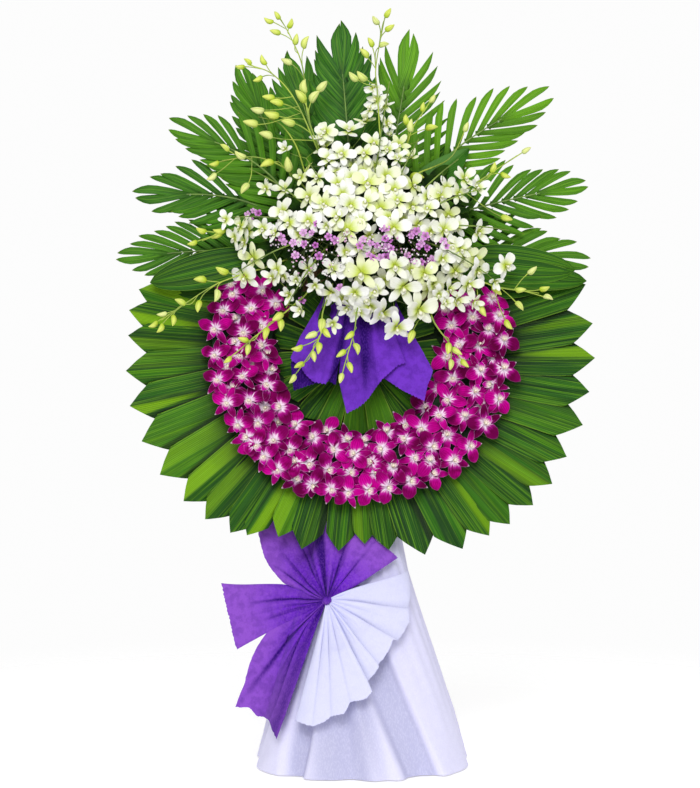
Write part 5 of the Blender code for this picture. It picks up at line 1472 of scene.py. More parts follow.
def mound_spot(rng, reach):
    """A random direction and place within a share of the mound's reach."""
    angle, reach = rng.uniform(0, 2 * math.pi), math.sqrt(rng.uniform(0, 1)) * reach
    limit = MOUND_REACH[int(math.degrees(angle) // 30) % 12]
    right = MOUND_MIDDLE[0] + math.cos(angle) * reach * limit
    return angle, right, MOUND_MIDDLE[1] + math.sin(angle) * reach * limit


def main_stem(degrees, reach, out):
    """A stem that fans out of the block."""
    way, points = heading(degrees), []
    root = np.array(MOUND_ROOT) + way * np.array([0.085, 0.022])
    for share in (0.0, 0.25, 0.5, 0.75, 1.0):
        place = root + (np.array(MOUND_MIDDLE) + way * reach - root) * share
        points.append((*place, 0.082 + (out - 0.082) * share + 0.055 * math.sin(math.pi * share)))
    return smooth_path(points, 6)


def white_mass(tree, materials, leaf_material, stem_material):
    """The crowded white heads on their stems, with dark leaves deep between them."""
    heads = [
        orchid_head(WHITE_WIDTH, openness, phase, (0.48, 0.62, full, 0.46), lip_size, 2.0)
        for openness, phase, full, lip_size in WHITE_FORMS
    ] + [
        orchid_head(WHITE_WIDTH, openness, phase, (0.50, 0.62, 0.56, 0.55), 0.40, 2.2)
        for openness, phase in HALF_OPEN_FORMS
    ]
    shapes = shape_set("white_head", heads, materials)
    rng = np.random.default_rng(7)
    heads = [
        (right / 1000, up / 1000, out / 1000, width / 1000 * WHITE_GROWTH, way, half)
        for right, up, out, width, way, half in WHITE_HEADS
    ]
    taken = [head[:2] for head in heads]
    for _ in range(WHITE_TRIES):
        if len(heads) >= len(WHITE_HEADS) + WHITE_DEEP:
            break
        _, right, up = mound_spot(rng, 0.66)
        among_florets = 0.165 < up < 0.235 and (right < -0.03 or 0.03 < right < 0.19)
        if among_florets or min(math.hypot(right - u, up - v) for u, v in taken) < 0.030:
            continue
        taken.append((right, up))
        out = mound_place(right, up)[0] - 0.022
        heads.append((right, up, out, rng.uniform(0.050, 0.060), rng.uniform(225, 315), 0))
    stems = [main_stem(*stem) for stem in MAIN_STEMS]
    spots = np.concatenate(stems)
    mass = Planting()
    for number, (right, up, out, width, way, half) in enumerate(heads):
        slope = min(mound_place(right, up)[1], 1.0) ** 1.5 * 0.75
        du, dv = right - MOUND_MIDDLE[0], up - MOUND_MIDDLE[1]
        far = max(math.hypot(du, dv), 1e-6)
        face = Vector((du / far * slope, dv / far * slope - 0.05, 1.0))
        face += Vector((rng.uniform(-0.62, 0.62), rng.uniform(-0.50, 0.50), 0)) * (0.5 if width > 0.06 else 1.0)
        out += rng.uniform(-0.004, 0.004)
        turn = facing_turn(face, (*heading(way + 180 + rng.uniform(-10, 10)), 0.0))
        here = np.array([right, up, out])
        mass.head(here, turn, 7 + number % 2 if half else int(rng.integers(0, 7)), width / WHITE_WIDTH)
        back = here - unit(face) * 0.004
        near = spots[np.argmin(np.linalg.norm(spots - (back - unit(face) * 0.02), axis=1))]
        middle = back - unit(face) * 0.014 + (near - back) * 0.25
        mass.stem(smooth_path([near, middle, back], 3), 0.0008)
    for stem in stems:
        mass.stem(stem, np.linspace(0.0024, 0.0012, len(stem)))
    mass.grown("white_blooms", tree, shapes, stem_material, 5, 0.03, "white_petal", "white_orchid_blooms")
    dark_leaves(tree, leaf_material, stem_material, rng)


def dark_leaves(tree, material, stem_material, rng):
    """Small dark leaves that fill the mound behind its flowers, darkened further with painted shade."""
    leaves = [
        petal(0.070, 0.026, 0.55, 0.70, cup=0.10, bend=bend, ripple=0.03, along=6, phase=phase)
        for bend, phase in ((-0.15, 0.2), (-0.28, 1.4), (-0.05, 2.2))
    ]
    shapes = shape_set("small_leaf", leaves, [material])
    filling = Planting()
    for number in range(FILLING_LEAVES):
        angle, right, up = mound_spot(rng, 0.80)
        surface, _ = mound_place(right, up)
        out = MOUND_BACK + 0.012 + (surface - MOUND_BACK - 0.044) * rng.uniform(0.55, 1.0)
        face = Vector((math.cos(angle) * 0.5, math.sin(angle) * 0.5, 1.0))
        face += Vector((rng.uniform(-0.5, 0.5), rng.uniform(-0.5, 0.5), 0))
        spread = angle + rng.uniform(-0.9, 0.9)
        turn = facing_turn(face, (math.cos(spread), math.sin(spread), rng.uniform(-0.2, 0.5)))
        place = (right, up, max(out, MOUND_BACK + 0.010))
        filling.head(place, turn, number % 3, rng.uniform(0.6, 1.0))
        root = (MOUND_ROOT[0] + math.cos(angle) * 0.09, MOUND_ROOT[1] + math.sin(angle) * 0.02, 0.085)
        filling.stem([root, place], 0.0009)
    filling.grown("filling_leaves", tree, shapes, stem_material, 9, 0.06, "broad_leaf")


def frond_path(frond, steps=24):
    """The midrib on the wreath, from its socket in the block to its tip."""
    right, up, degrees, tip, plane = frond[:5]
    seat, along = FROND_PLANES[plane], heading(degrees)
    root, end = np.array([right, up]), np.array(tip)
    bend = root + along * np.linalg.norm(end - root) * 0.5
    points = [(*(root - along * FROND_SOCKET), seat), (*root, seat)]
    for share in (i / steps for i in range(1, steps + 1)):
        spot = root * (1 - share) ** 2 + bend * 2 * share * (1 - share) + end * share**2
        points.append((*spot, seat + FROND_ARCH * (np.linalg.norm(spot - root) / FROND_REACH) ** 2))
    return on_wreath(points)


def palm_fronds(tree, leaflet_material, midrib_material):
    shapes = [
        shape_set(
            name,
            [
                leaflet(halves, side * lean, side * bend, phase)
                for side in (-1, 1) for lean, bend, phase in LEAFLET_BENDS
            ],
            [leaflet_material],
        )
        for name, halves in (("leaflet", LEAFLET_HALVES), ("full_leaflet", FULL_HALVES))
    ]
    facing = tuple(WREATH_TURN @ Vector((0, 0, 1)))
    for number, frond in enumerate(FRONDS):
        painted_light, width, tip_growth, pitch, leaflet_length, full = frond[5:]
        length = np.linalg.norm(np.array(frond[3]) - np.array(frond[:2])) + FROND_SOCKET
        values = {
            "Leaflets": shapes[full], "Leaflets a Side": int(length * (1 - BARE_SHARE) / pitch) + 1,
            "Bare Share": BARE_SHARE, "Leaflet Length": leaflet_length, "Closing": LEAFLET_CLOSING[full],
            "Leaflet Width": width, "Tip Growth": tip_growth, "Facing": facing, "Seed": 10 + number * 3,
            "Midrib Radius": 0.0032, "Midrib Material": midrib_material,
        }
        host = paths_object(f"midrib_{number}", [frond_path(frond)], [0.003])
        piece = grow(f"palm_{number + 1}", host, tree, values)
        # each frond's painted light, for its leaflets' finish
        set_mark(piece.data, "painted_light", np.full(len(piece.data.vertices), painted_light, float))
        add_piece(piece, "palm_leaf", f"palm_frond_{number + 1}")


def sunk_stem(stem):
    """Lets a spray's stem sink among the white flowers, while it is over them."""
    for point in stem:
        surface, share = mound_place(point[0], point[1])
        if share < 1.05:
            point[2] -= float(np.clip(point[2] - surface + 0.020, 0, SPRAY_SINK)) * min(1, (1.05 - share) / 0.15)
    return stem


def bud_sprays(tree, materials, stem_material):
    """The thin ends of the white flowers' stems, each with its buds: large ones first, small ones at the tip."""
    shapes = shape_set("bud", [bud(BUD_LENGTH, BUD_RADIUS, hook) for hook in (0.0, 0.35, -0.35, 0.6)], materials)
    for number, (name, node_name, stems, spots) in enumerate(SPRAYS):
        rng, spray = np.random.default_rng(60 + number), Planting()
        stems = [sunk_stem(smooth_path(np.array(stem) / 1000, 8)) for stem in stems]
        for stem in stems:
            spray.stem(stem, np.linspace(SPRAY_RADIUS, SPRAY_TIP, len(stem)))
        for right, up in spots:
            spot = np.array([right, up]) / 1000
            gaps = [np.linalg.norm(stem[:, :2] - spot, axis=1) for stem in stems]
            which = int(np.argmin([gap.min() for gap in gaps]))
            stem, near = stems[which], int(np.argmin(gaps[which]))
            ahead = min(near + 2, len(stem) - 1)
            tangent = unit(stem[ahead] - stem[max(ahead - 4, 0)])
            side = np.append(spot - stem[near][:2], 0.0)
            share = near / (len(stem) - 1)
            size = (1.06 - 0.34 * np.clip((share - 0.35) / 0.65, 0, 1)) * rng.uniform(0.92, 1.08)
            lift = rng.uniform(-0.007, 0.009)
            way = unit(0.75 * tangent + 0.75 * side / max(np.linalg.norm(side), 0.012) + [0, 0, lift * 30])
            start = np.append(spot, stem[near][2] + lift) - way * BUD_LENGTH * size * 0.5
            root = stem[max(near - int(rng.integers(3, 6)), 0)]
            bend = start - way * 0.007 + (root - start) * 0.25
            spray.stem(smooth_path([root, bend, start + way * 0.001], 4), np.linspace(0.0009, 0.0013, 9))
            turn = pointing_turn(way, (rng.uniform(-1, 1), rng.uniform(-1, 1), 0.6))
            spray.head(start, turn, int(rng.integers(0, 4)), size)
        spray.grown(name, tree, shapes, stem_material, 70 + number, 0.02, "bud", node_name)


def filler_flowers(tree, materials, twig_material):
    """Small lilac florets and tiny buds on dark branching twigs, in front of the white flowers."""
    tiny = [turned_shape(TINY_BUD, 6, slot) for slot in (2, 3)]
    shapes = shape_set("floret", [floret(), floret(), *tiny], materials)
    for number, (name, node_name, root, florets, patches) in enumerate(FILLERS):
        rng, sprig = np.random.default_rng(90 + number), Planting()
        spots = [(right / 1000, up / 1000, False) for right, up in florets]
        for right, up, half_right, half_up, count in patches:
            for _ in range(count):
                angle, reach = rng.uniform(0, 2 * math.pi), math.sqrt(rng.uniform(0, 1))
                across, along = half_right * reach * math.cos(angle), half_up * reach * math.sin(angle)
                spots.append(((right + across) / 1000, (up + along) / 1000, True))
        forks = []
        for right, up, is_bud in spots:
            out = mound_place(right, up)[0] + rng.uniform(-0.006, 0.012) - (0.004 if is_bud else 0.0)
            here = np.array([right, up, out])
            gaps = [np.linalg.norm(fork - here) for fork in forks]
            if gaps and min(gaps) < 0.022:
                joint = forks[int(np.argmin(gaps))]
            else:
                joint = here + np.array([rng.uniform(-0.006, 0.006), rng.uniform(-0.010, 0.002), -0.016])
                forks.append(joint)
                deep = np.array([root[0] + (right - root[0]) * 0.4, root[1] + (up - root[1]) * 0.4, out - 0.055])
                twig = smooth_path([deep, (deep + joint) / 2 + [0, -0.004, 0], joint], 3)
                sprig.stem(twig, np.linspace(0.0009, 0.0006, 7))
            sprig.stem(smooth_path([joint, (joint + here) / 2 + [0, 0, 0.002], here], 2), 0.0005)
            tilt = (rng.uniform(-0.5, 0.5), rng.uniform(-0.4, 0.5), 1.0)
            if is_bud:
                turn = pointing_turn(unit([right, up - 0.15, 0.25]), (0, 0.3, 1))
                kind = 2 + int(rng.random() < 0.28)
            else:
                angle = rng.uniform(0, 2 * math.pi)
                turn = facing_turn(tilt, (math.cos(angle), math.sin(angle), 0))
                kind = int(rng.integers(0, 2))
            sprig.head(here, turn, kind, rng.uniform(0.82, 1.12))
        sprig.grown(name, tree, shapes, twig_material, 95 + number, 0.05, "filler_flower", node_name)


def blade(right, up, way, along, across, height, marks):
    """A thin leaf laid along a direction on the wreath, from its lengths along and across."""
    u = right + way[0] * along - way[1] * across
    v = up + way[1] * along + way[0] * across
    return thin_leaf(on_wreath(stack(u, v, height)), marks)


def broad_leaves(material):
    """The two broad leaves behind the white flowers, each hollow along its midrib and raised at its edges."""
    t, k = np.linspace(0, 1, 45)[:, None], np.linspace(1, -1, 25)[None, :]
    for number, (name, node_name, right, up, degrees, length, width, seat) in enumerate(BROAD_LEAVES):
        half = 0.0025 + (width / 2 - 0.0025) * np.clip(np.sin(math.pi * t**0.8), 0, 1) ** 0.8
        veins = 0.0005 * np.cos(2 * math.pi * (t * 16 - np.abs(k) * 3.4)) * (half * 2 / width)
        height = seat + BROAD_CLIMB * t + 0.004 * np.abs(k) * (half * 2 / width) + veins
        height = height + 0.0011 * np.sin(9 * t + 2 * k + number) * np.abs(k)
        leaf = blade(right, up, heading(degrees), t * length, k * half, height, stack(k, t, 0.0))
        add_piece(tinted(name, [leaf], [0.3 + 0.4 * number], [material]), "broad_leaf", node_name)


def backing_blades(material):
    """Dark blades that close the gaps behind the palm fronds, and lie over the lowest ones."""
    t, a = np.linspace(0, 1, 19)[:, None], np.linspace(1, -1, 13)[None, :]
    made = []
    blades = [(*leaf, BACKING_HEIGHT) for leaf in BACKING_BLADES] + FRONT_BLADES
    for number, (right, up, end_right, end_up, width, seat) in enumerate(blades):
        ahead = np.array([end_right - right, end_up - up])
        length = float(np.linalg.norm(ahead))
        half = outline(t, 0.55, 0.60, 0.2) * width / 2
        height = seat + 0.0016 * (number % 3 - 1) + 0.003 * np.abs(a) * half / width
        height = height + 0.0007 * np.cos(a * 16) * half / width
        lit = BLADES_LIT[number >= len(BACKING_BLADES)]
        marks = stack(a, lit + (1 - lit) * t, 0.0)
        made.append(blade(right, up, ahead / length, length * t, a * half, height, marks))
    add_piece(tinted("backing_leaves", made, np.linspace(0.08, 0.62, len(made)), [material]), "broad_leaf")


def finish_nodes():
    """Gives the stand, the board, the foam, its tray and the bolt their own finishes."""
    for names, *values in NODE_FINISHES:
        material = grained(*values)
        for name in names.split():
            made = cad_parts[name]
            if not made.material_slots:
                made.data.materials.append(material)
            for slot in made.material_slots:
                slot.material = material


# ---- cloth ----


def ribbed(ribs, step, puff):
    """Every column across a pleated sheet, between its ribs; a rib's last number is its depth."""
    columns = []
    for low, high in zip(ribs, ribs[1:]):
        low, high = np.array(low, float), np.array(high, float)
        span = abs(high[0] - low[0])
        count = max(1, math.ceil(span / step))
        for share in (k / count for k in range(count)):
            column = low + (high - low) * share
            column[-1] += puff * math.sin(math.pi * share) * min(span / (8 * step), 1)
            columns.append(column)
    return np.array([*columns, np.array(ribs[-1], float)])


def crumple(points, size, depth, seed, stretch=(1.0, 1.0, 1.0)):
    """Small smooth unevenness of cloth at each point."""
    shift = Vector((seed * 3.1, seed * 1.7, seed * 5.3))
    flat = points.reshape(-1, 3) * np.array(stretch) / size
    return np.array([noise.noise(Vector(p) + shift) for p in flat]).reshape(points.shape[:-1]) * depth


def evened(values, passes):
    """A row of numbers, smoothed along itself."""
    values = values.copy()
    for _ in range(passes):
        values[:, 1:-1] = (values[:, :-2] + 2 * values[:, 1:-1] + values[:, 2:]) / 4
    return values


def cloth_leaf(name, points, across, along, depth, material):
    """A thin sheet, with 0 in its valleys and 1 on its crests as its third mark, under its shaded bands."""
    marks = stack(across, along, np.clip(0.5 + (depth - evened(depth, 100)) / FOLD_DEPTH, 0, 1))
    for place, width, strength, reach in CLOTH_SHADES.get(name, ()):
        band = np.exp(-(((marks[..., 0] - place) / width) ** 2)) * np.clip((reach - marks[..., 1]) / 0.35, 0, 1)
        marks[..., 2] *= 1 - strength * band
    return mesh_object(name, thin_leaf(points, marks, CLOTH_THICKNESS), [material])


def swag(name, ribs, plane, seed, flat, area, nodes, material):
    """A gathered lobe of violet cloth; a rib gives its top, its end (right, up) and its depth, in millimetres."""
    rng = np.random.default_rng(seed)
    columns = ribbed([tuple(value / 1000 for value in rib) for rib in ribs], SWAG_STEP, 0.0012)
    top, right, up, depth = (columns[:, k][None, :] for k in range(4))
    share = np.linspace(0, 1, 35)[:, None]
    u = top + (right - top) * share**1.25
    along_hem = np.concatenate([[0], np.cumsum(np.hypot(np.diff(right[0]), np.diff(up[0])))])
    tooth = (SWAG_TOOTH * np.abs((along_hem / SWAG_PINK) % 1 - 0.5) * 2)[None, :]
    v = SWAG_TOP + (up + tooth - SWAG_TOP) * share
    height = plane + SWAG_RISE * np.clip(SWAG_TOP - v - SWAG_FLAT, 0, None)
    across = np.linspace(-1, 1, len(columns))[None, :]
    pleats = 0.0022 * np.cos(across * 11 + rng.uniform(0, 6)) * np.exp(-((share / 0.40) ** 2))
    out = evened(depth, SWAG_CALM) * np.clip(share / 0.30, 0, 1) + pleats
    flat_points = stack(u, v, 0.0)
    out = out + crumple(flat_points, 0.050, 0.0040, seed, (1, 0.5, 1)) * share
    out = out + crumple(flat_points, 0.015, 0.0008, seed + 1)
    piece = cloth_leaf(name, on_wreath(stack(u, v, height + out)), across, share, out, material)
    add_piece(piece, "violet_cloth", *nodes)


def knot_place():
    """The middle and the radius of the bow's knot."""
    low, high = (np.array(corner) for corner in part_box("bow_knot"))
    return (low + high) / 2 + BOW_SHIFT, (high[0] - low[0]) / 2


def bow_lobe(name, stands_for, ribs, puff, gathers, flat, area, slot, material, seed, rows):
    """A pleated lobe of the bow: ribs give direction, reach, swing at the knot and depth."""
    knot, _ = knot_place()
    rng = np.random.default_rng(seed)
    columns = ribbed(ribs, LOBE_STEP, puff)
    direction, reach, swing, depth = (columns[:, k][None, :] for k in range(4))
    calm = evened(depth, LOBE_CALM)
    share = (np.linspace(0, 1, rows + 1) ** 1.15)[:, None]
    reach = reach + BOW_FRAY * (rng.random(len(columns)) - 0.5)[None, :] * share**6
    far = LOBE_START + (reach - LOBE_START) * share
    angle = np.radians(direction + swing * (1 - share) ** 2)
    x, z = knot[0] + far * np.cos(angle), knot[2] + far * np.sin(angle)
    leave = np.clip((far - LOBE_START) / LOBE_LEAVE, 0, 1)
    rest = np.minimum(skirt_front(x, z), skirt_front(x, z - 0.02)) - LOBE_LIFT
    rising = np.clip(far / 0.07, 0, 1)
    across = (direction - direction.min()) / (direction.max() - direction.min())
    ripple = 0
    for waves, size, fade in gathers:
        phase = rng.uniform(0, 2 * math.pi)
        bunch = np.cos(2 * math.pi * waves * across + phase + 1.8 * np.sin(5 * across + phase))
        bunch = bunch * (0.65 + 0.5 * np.sin(11 * across + 2 * phase))
        ripple = ripple + size * bunch * np.clip(far / 0.022, 0, 1) * np.exp(-((far / fade) ** 2))
    loose_share = np.exp(-((share / LOBE_CREASE) ** 2))
    hold = LOBE_HOLD.get(name, 0.12)
    out = (calm + (depth - calm) * (hold + (1 - hold) * loose_share)) * rising + ripple
    points = stack(x, knot[1] * (1 - leave) + rest * leave - out, z)
    creases = crumple(points, 0.045, 0.0030, seed) * rising + crumple(points, 0.014, 0.0008, seed + 3) * rising
    points[..., 1] -= creases
    piece = cloth_leaf(name, points, np.linspace(-1, 1, len(columns))[None, :], share, out, material)
    add_piece(piece, slot, stands_for)


def bow(violet, white):
    for lobe in VIOLET_LOBES:
        bow_lobe(*lobe, "violet_cloth", violet, len(lobe[1]), 44)
    bow_lobe(*WHITE_FAN, "white_cloth", white, 5, 50)
    middle, radius = knot_place()
    turn = np.linspace(0, 2 * math.pi, 40, endpoint=False)[None, :]
    tilt = np.linspace(0.06, math.pi - 0.06, 18)[:, None]
    reach = radius * (0.66 + 0.07 * np.cos(7 * turn + 2.4 * tilt) + 0.04 * np.cos(4 * turn - 3 * tilt + 1))
    flat = reach * np.sin(tilt)
    ball = stack(flat * np.cos(turn), flat * -1.05 * np.sin(turn), reach * 0.92 * np.cos(tilt))
    # 0.3 as the third mark lays some painted fold shade over the knot
    marks = stack(np.cos(turn), tilt / math.pi, 0.3)
    index = numbered(18, 40)
    ahead = np.roll(index, -1, axis=1)
    walls = quads(index[:-1], ahead[:-1], ahead[1:], index[1:])
    faces = np.concatenate([walls, end_fan(index[0])[:, ::-1], end_fan(index[-1])])
    shape = ((ball[::-1] + middle).reshape(-1, 3), marks[::-1].reshape(-1, 3), faces, np.zeros(len(faces), int))
    piece = mesh_object("knot", shape, [violet])
    outward_mesh(piece)
    add_piece(piece, "violet_cloth", "bow_knot")


def skirt_size(z):
    """The skirt's section at a height: middle, half width, front, back, widest y, squareness and pleat depth."""
    rows = np.array(SKIRT_ROWS)[::-1]
    return [np.interp(z, rows[:, 0], rows[:, k]) for k in range(1, 8)]


def skirt_front(x, z):
    """The y of the skirt's front at a place across and up."""
    centre, half, front, _, widest, square, crest = skirt_size(z)
    share = np.minimum(np.abs(x - WREATH_MIDDLE[0] - centre) / (half + crest), 0.98)
    return widest - (widest - front + crest) * (1 - share**square) ** (1 / square)


def skirt_section(z):
    """The skirt's smooth outline at a height, from the front's middle round by the right, and each place's share."""
    centre, half, front, back, widest, square, _ = skirt_size(z)
    angle = np.linspace(0, 2 * math.pi, 1441)
    side, ahead = np.sin(angle), np.cos(angle)
    power = 2 / square
    x = WREATH_MIDDLE[0] + centre + half * np.sign(side) * np.abs(side) ** power
    depth = np.where(ahead > 0, widest - front, back - widest)
    y = widest - depth * np.sign(ahead) * np.abs(ahead) ** power
    length = np.concatenate([[0], np.cumsum(np.hypot(np.diff(x), np.diff(y)))])
    return x, y, length / length[-1]


def front_half(x, share):
    """A section's x and shares over its front, from the left side to the right."""
    least, most = int(np.argmin(x)), int(np.argmax(x))
    return np.concatenate([x[least:-1], x[: most + 1]]), np.concatenate([share[least:-1] - 1, share[: most + 1]])


def fold_places(front):
    """The places of all folds round a section, from those over its front."""
    behind = np.linspace(front[-1], front[0] + 1, len(BACK_FOLDS) + 2)[1:-1]
    return np.concatenate([front, behind, [front[0] + 1]])


def onward(px, py):
    """The direction of a closed path at each of its points."""
    return np.stack([np.roll(px, -1) - np.roll(px, 1), np.roll(py, -1) - np.roll(py, 1)], axis=-1)


def skirt(material):
    """The skirt: folds that spread from the knot to the hem in front, and hang straight at the back."""
    columns, rows = 400, 56
    heights = SKIRT_TOP - (SKIRT_TOP - SKIRT_HEM) * np.linspace(0, 1, rows + 1) ** 0.92
    middle = WREATH_MIDDLE[0] + skirt_size(SKIRT_HEM)[0]
    hem_x, _, hem_share = skirt_section(SKIRT_HEM)
    place_x, depth, run, spread = np.array(SKIRT_FOLDS).T
    spots = np.interp(middle + place_x, *front_half(hem_x, hem_share))
    knots, depths = fold_places(spots), np.concatenate([depth, BACK_FOLDS, depth[:1]])
    place = spots[0] + np.arange(columns) / columns
    slot_of = np.clip(np.searchsorted(knots, place, side="right") - 1, 0, len(knots) - 2)
    part = (place - knots[slot_of]) / (knots[slot_of + 1] - knots[slot_of])
    ease = part * part * (3 - 2 * part)
    fold = depths[slot_of] * (1 - ease) + depths[slot_of + 1] * ease
    bunch = 0.0030 * np.cos(2 * math.pi * 46 * place + 1.3 * np.sin(2 * math.pi * 5 * place))
    outer, marks = [], []
    for z in heights:
        x, y, share = skirt_section(z)
        front_x, front_share = front_half(x, share)
        target = SKIRT_GATHER + (middle + place_x - SKIRT_GATHER) * np.maximum(1 - run * z, 0.10 + 0.16 * spread)
        target = np.clip(target, front_x[0] + FOLD_MARGIN, front_x[-1] - FOLD_MARGIN)
        steps = FOLD_SPACING * np.arange(len(target))
        target = np.maximum.accumulate(target + steps) - steps
        spot = np.interp(place, knots, fold_places(np.interp(target, front_x, front_share)))
        round_share = np.concatenate([share[:-1] - 1, share])
        px, py = (np.interp(spot, round_share, np.concatenate([side[:-1], side])) for side in (x, y))
        ahead = onward(px, py).T
        ahead = ahead / np.maximum(np.linalg.norm(ahead, axis=0), 1e-9)
        low = (SKIRT_TOP - z) / (SKIRT_TOP - SKIRT_HEM)
        swell = np.clip(low, 0, 1) ** 0.75
        tight = np.exp(-(((z - CORD_HEIGHT) / 0.010) ** 2))
        kick = SKIRT_KICK * np.clip(1 - z / 0.060, 0, 1) ** 1.3
        kick = kick * np.exp(-(((place - np.interp(middle - 0.185, front_x, front_share)) / 0.05) ** 2))
        out = np.minimum(fold * swell + bunch * (1 - low) ** 1.5 * (1 - 0.6 * tight) + kick, 0.009)
        points = stack(px + ahead[1] * out, py - ahead[0] * out, z)
        wrinkle = crumple(points, 0.050, 0.0026, 4, (1, 1, 0.35)) + crumple(points, 0.016, 0.0007, 9)
        points[:, 0] += ahead[1] * wrinkle * swell
        points[:, 1] -= ahead[0] * wrinkle * swell
        outer.append(points)
        # painted shade: the valleys of the folds and the front panel take the darker fold colour
        panel = np.exp(-(((px - SKIRT_PANEL[0]) / SKIRT_PANEL[1]) ** 2)) * np.clip((0.34 - z) / 0.16, 0, 1) * (py < 0)
        valley = np.clip(0.5 + out / 0.034, 0, 1) * (1 - SKIRT_PANEL[2] * panel)
        marks.append(stack(place, low, valley))
    piece = mesh_object("skirt_cloth", tube_sheet(np.array(outer), np.array(marks), CLOTH_THICKNESS), [material])
    add_piece(piece, "white_cloth", "skirt")


def tube_sheet(outer, marks, thickness):
    """A closed thin sheet that runs round as a tube: its rows go down and its columns go round."""
    rows, columns, _ = outer.shape
    along = np.roll(outer, -1, axis=1) - np.roll(outer, 1, axis=1)
    normal = unit(np.cross(np.gradient(outer, axis=0), along))
    if np.sum(normal * (outer - outer.mean(axis=1, keepdims=True))) < 0:
        normal = -normal
    inner = outer - normal * thickness
    first, second = numbered(rows, columns), numbered(rows, columns, rows * columns)
    walls = []
    for index in (first, second):
        ahead = np.roll(index, -1, axis=1)
        walls.append(quads(index[:-1], index[1:], ahead[1:], ahead[:-1]))
    top, hem = (
        quads(first[row], second[row], np.roll(second[row], -1), np.roll(first[row], -1)) for row in (0, -1)
    )
    faces = np.concatenate([walls[0], walls[1][:, ::-1], top[:, ::-1], hem])
    points = np.concatenate([outer.reshape(-1, 3), inner.reshape(-1, 3)])
    return points, np.concatenate([marks.reshape(-1, 3)] * 2), faces, np.zeros(len(faces), int)


def skirt_cord(material):
    """The cord that ties the skirt: three strands twisted together, round the gathers."""
    x, y, share = skirt_section(CORD_HEIGHT)
    steps, sides = 220, 12
    spots = np.arange(steps) / steps
    px, py = np.interp(spots, share, x), np.interp(spots, share, y)
    ahead = unit(onward(px, py))
    angle = np.linspace(0, 2 * math.pi, sides, endpoint=False)[None, :]
    radius = CORD_RADIUS * (0.84 + 0.16 * np.cos(3 * angle - 2 * math.pi * CORD_TWISTS * spots[:, None]))
    reach = CORD_RADIUS + 0.0055 + radius * np.cos(angle)
    rings = stack(
        px[:, None] + ahead[:, 1:] * reach, py[:, None] - ahead[:, :1] * reach, CORD_HEIGHT + radius * np.sin(angle)
    )
    index = numbered(steps, sides)
    onwards = np.roll(index, -1, axis=0)
    faces = quads(index, onwards, np.roll(onwards, -1, axis=1), np.roll(index, -1, axis=1))
    marks = stack(np.cos(angle), spots[:, None], 0.5)
    shape = (rings.reshape(-1, 3), marks.reshape(-1, 3), faces, np.zeros(len(faces), int))
    piece = mesh_object("skirt_cord", shape, [material])
    outward_mesh(piece)
    add_piece(piece, "cord", "skirt_tie")


# ---- the studio ----


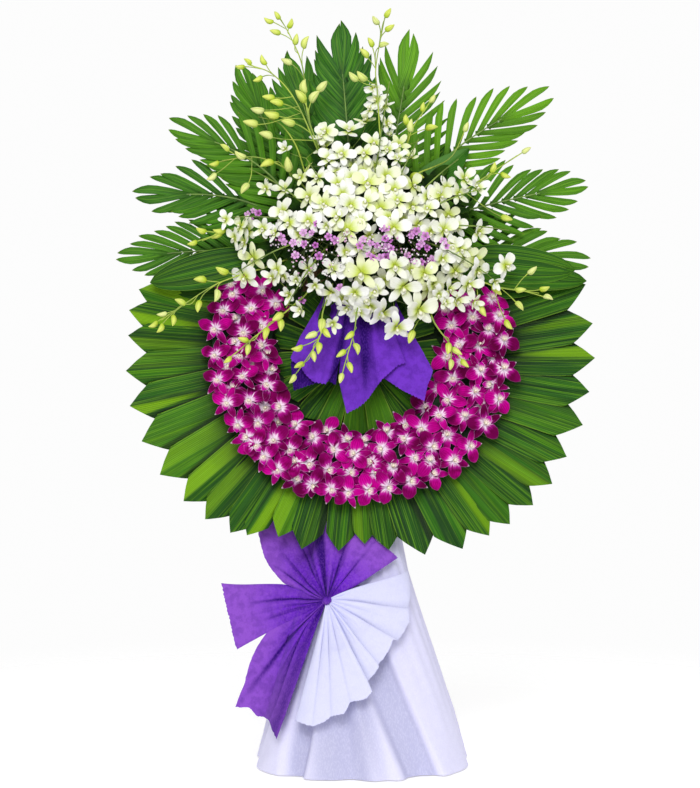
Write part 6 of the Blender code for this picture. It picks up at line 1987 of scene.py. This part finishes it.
def stage_and_lights():
    """A pale floor that fades into the surroundings, soft studio lights, and the camera."""
    scene = bpy.context.scene
    scene.view_settings.view_transform = "Standard"
    world = bpy.data.worlds.new("studio")
    scene.world = world
    world.use_nodes = True
    tree = world.node_tree
    back = tree.nodes["Background"]
    ray = add(tree, "ShaderNodeLightPath", out="Is Camera Ray")
    back.inputs["Color"].default_value = (1, 1, 1, 1)
    strength = add(tree, "ShaderNodeMapRange", Value=ray, To_Min=WORLD_LIGHT, To_Max=WORLD_SEEN)
    tree.links.new(strength, back.inputs["Strength"])

    f = Finish("pale_floor", 0.9, specular=0.1)
    f.shade(Base_Color=linear(250, 250, 250), Emission_Color=(1, 1, 1, 1), Emission_Strength=0.30)
    reach = vector(f.tree, "LENGTH", add(f.tree, "ShaderNodeTexCoord", out="Object"))
    f.shade(Alpha=f.fade(reach, 0.7, 2.2, 1.0, 0.0))
    bpy.ops.mesh.primitive_circle_add(vertices=96, radius=2.4, fill_type="NGON", location=(0, 0, -0.0005))
    floor = bpy.context.object
    floor.name = "floor"
    floor.data.materials.append(f.material)

    for name, place, size, power in LIGHTS:
        light = bpy.data.lights.new(name, "AREA")
        light.size, light.energy = size, power
        lamp = in_scene(bpy.data.objects.new(name, light))
        lamp.location = place
        lamp.rotation_euler = (Vector(LIGHT_TARGET) - Vector(place)).to_track_quat("-Z", "Y").to_euler()

    camera = bpy.data.cameras.new("camera")
    camera.lens, camera.sensor_width = CAMERA_LENS, 36.0
    eye = in_scene(bpy.data.objects.new("camera", camera))
    eye.location = CAMERA_PLACE
    eye.rotation_euler = (math.radians(90), 0, 0)
    scene.camera = eye


def main():
    stage_and_lights()
    finish_nodes()
    stem = stalk_finish("flower_stem", (132, 164, 44), (70, 104, 20))
    dark_stem = stalk_finish("dark_stem", (60, 84, 26), (26, 46, 12))
    heads = set_out_tree()
    collar_leaves(strap_leaf("strap_leaf"), strap_leaf("inner_leaf", inside=1.0))
    purples = [purple_petal(), purple_lip(), column_finish("purple_column", (240, 224, 196), (255, 250, 226))]
    purple_ring(heads, purples, dark_stem)
    whites = [white_petal(), white_lip(), column_finish("white_column", (214, 222, 130), (250, 250, 230))]
    # mound_leaf is darkened all over with painted shade, deep among the flowers
    white_mass(heads, whites, strap_leaf("mound_leaf", inside=1.0, deep=0.60), stem)
    palm_fronds(frond_tree(), palm_leaflet(), stalk_finish("palm_midrib", (108, 150, 46), (68, 112, 26)))
    broad_leaves(dark_leaf())
    # backing_leaf takes a little painted shade all over
    backing_blades(strap_leaf("backing_leaf", deep=0.10))
    bud_sprays(heads, [bud_finish()], stalk_finish("bud_stem", (176, 200, 56), (120, 152, 30)))
    filler_flowers(heads, [petal_finish(*finish) for finish in FLORET_FINISHES], dark_stem)
    swag_violet = cloth_finish("swag_nonwoven", (106, 36, 192), (34, 0, 96), (122, 62, 204), 0.60, 0.50)
    for lobe in SWAGS:
        swag(*lobe, swag_violet)
    violet = cloth_finish("violet_nonwoven", (106, 32, 200), (42, 0, 112), (150, 88, 206), 0.90, 0.60)
    bow(violet, cloth_finish("fan_nonwoven", (217, 218, 252), (178, 180, 216), (230, 230, 254), 0.3, 0.0, 0.25))
    skirt(cloth_finish("white_nonwoven", (224, 222, 252), (188, 188, 220), (238, 237, 255), 0.3, 0.0, 0.25))
    skirt_cord(cord_finish())


main()
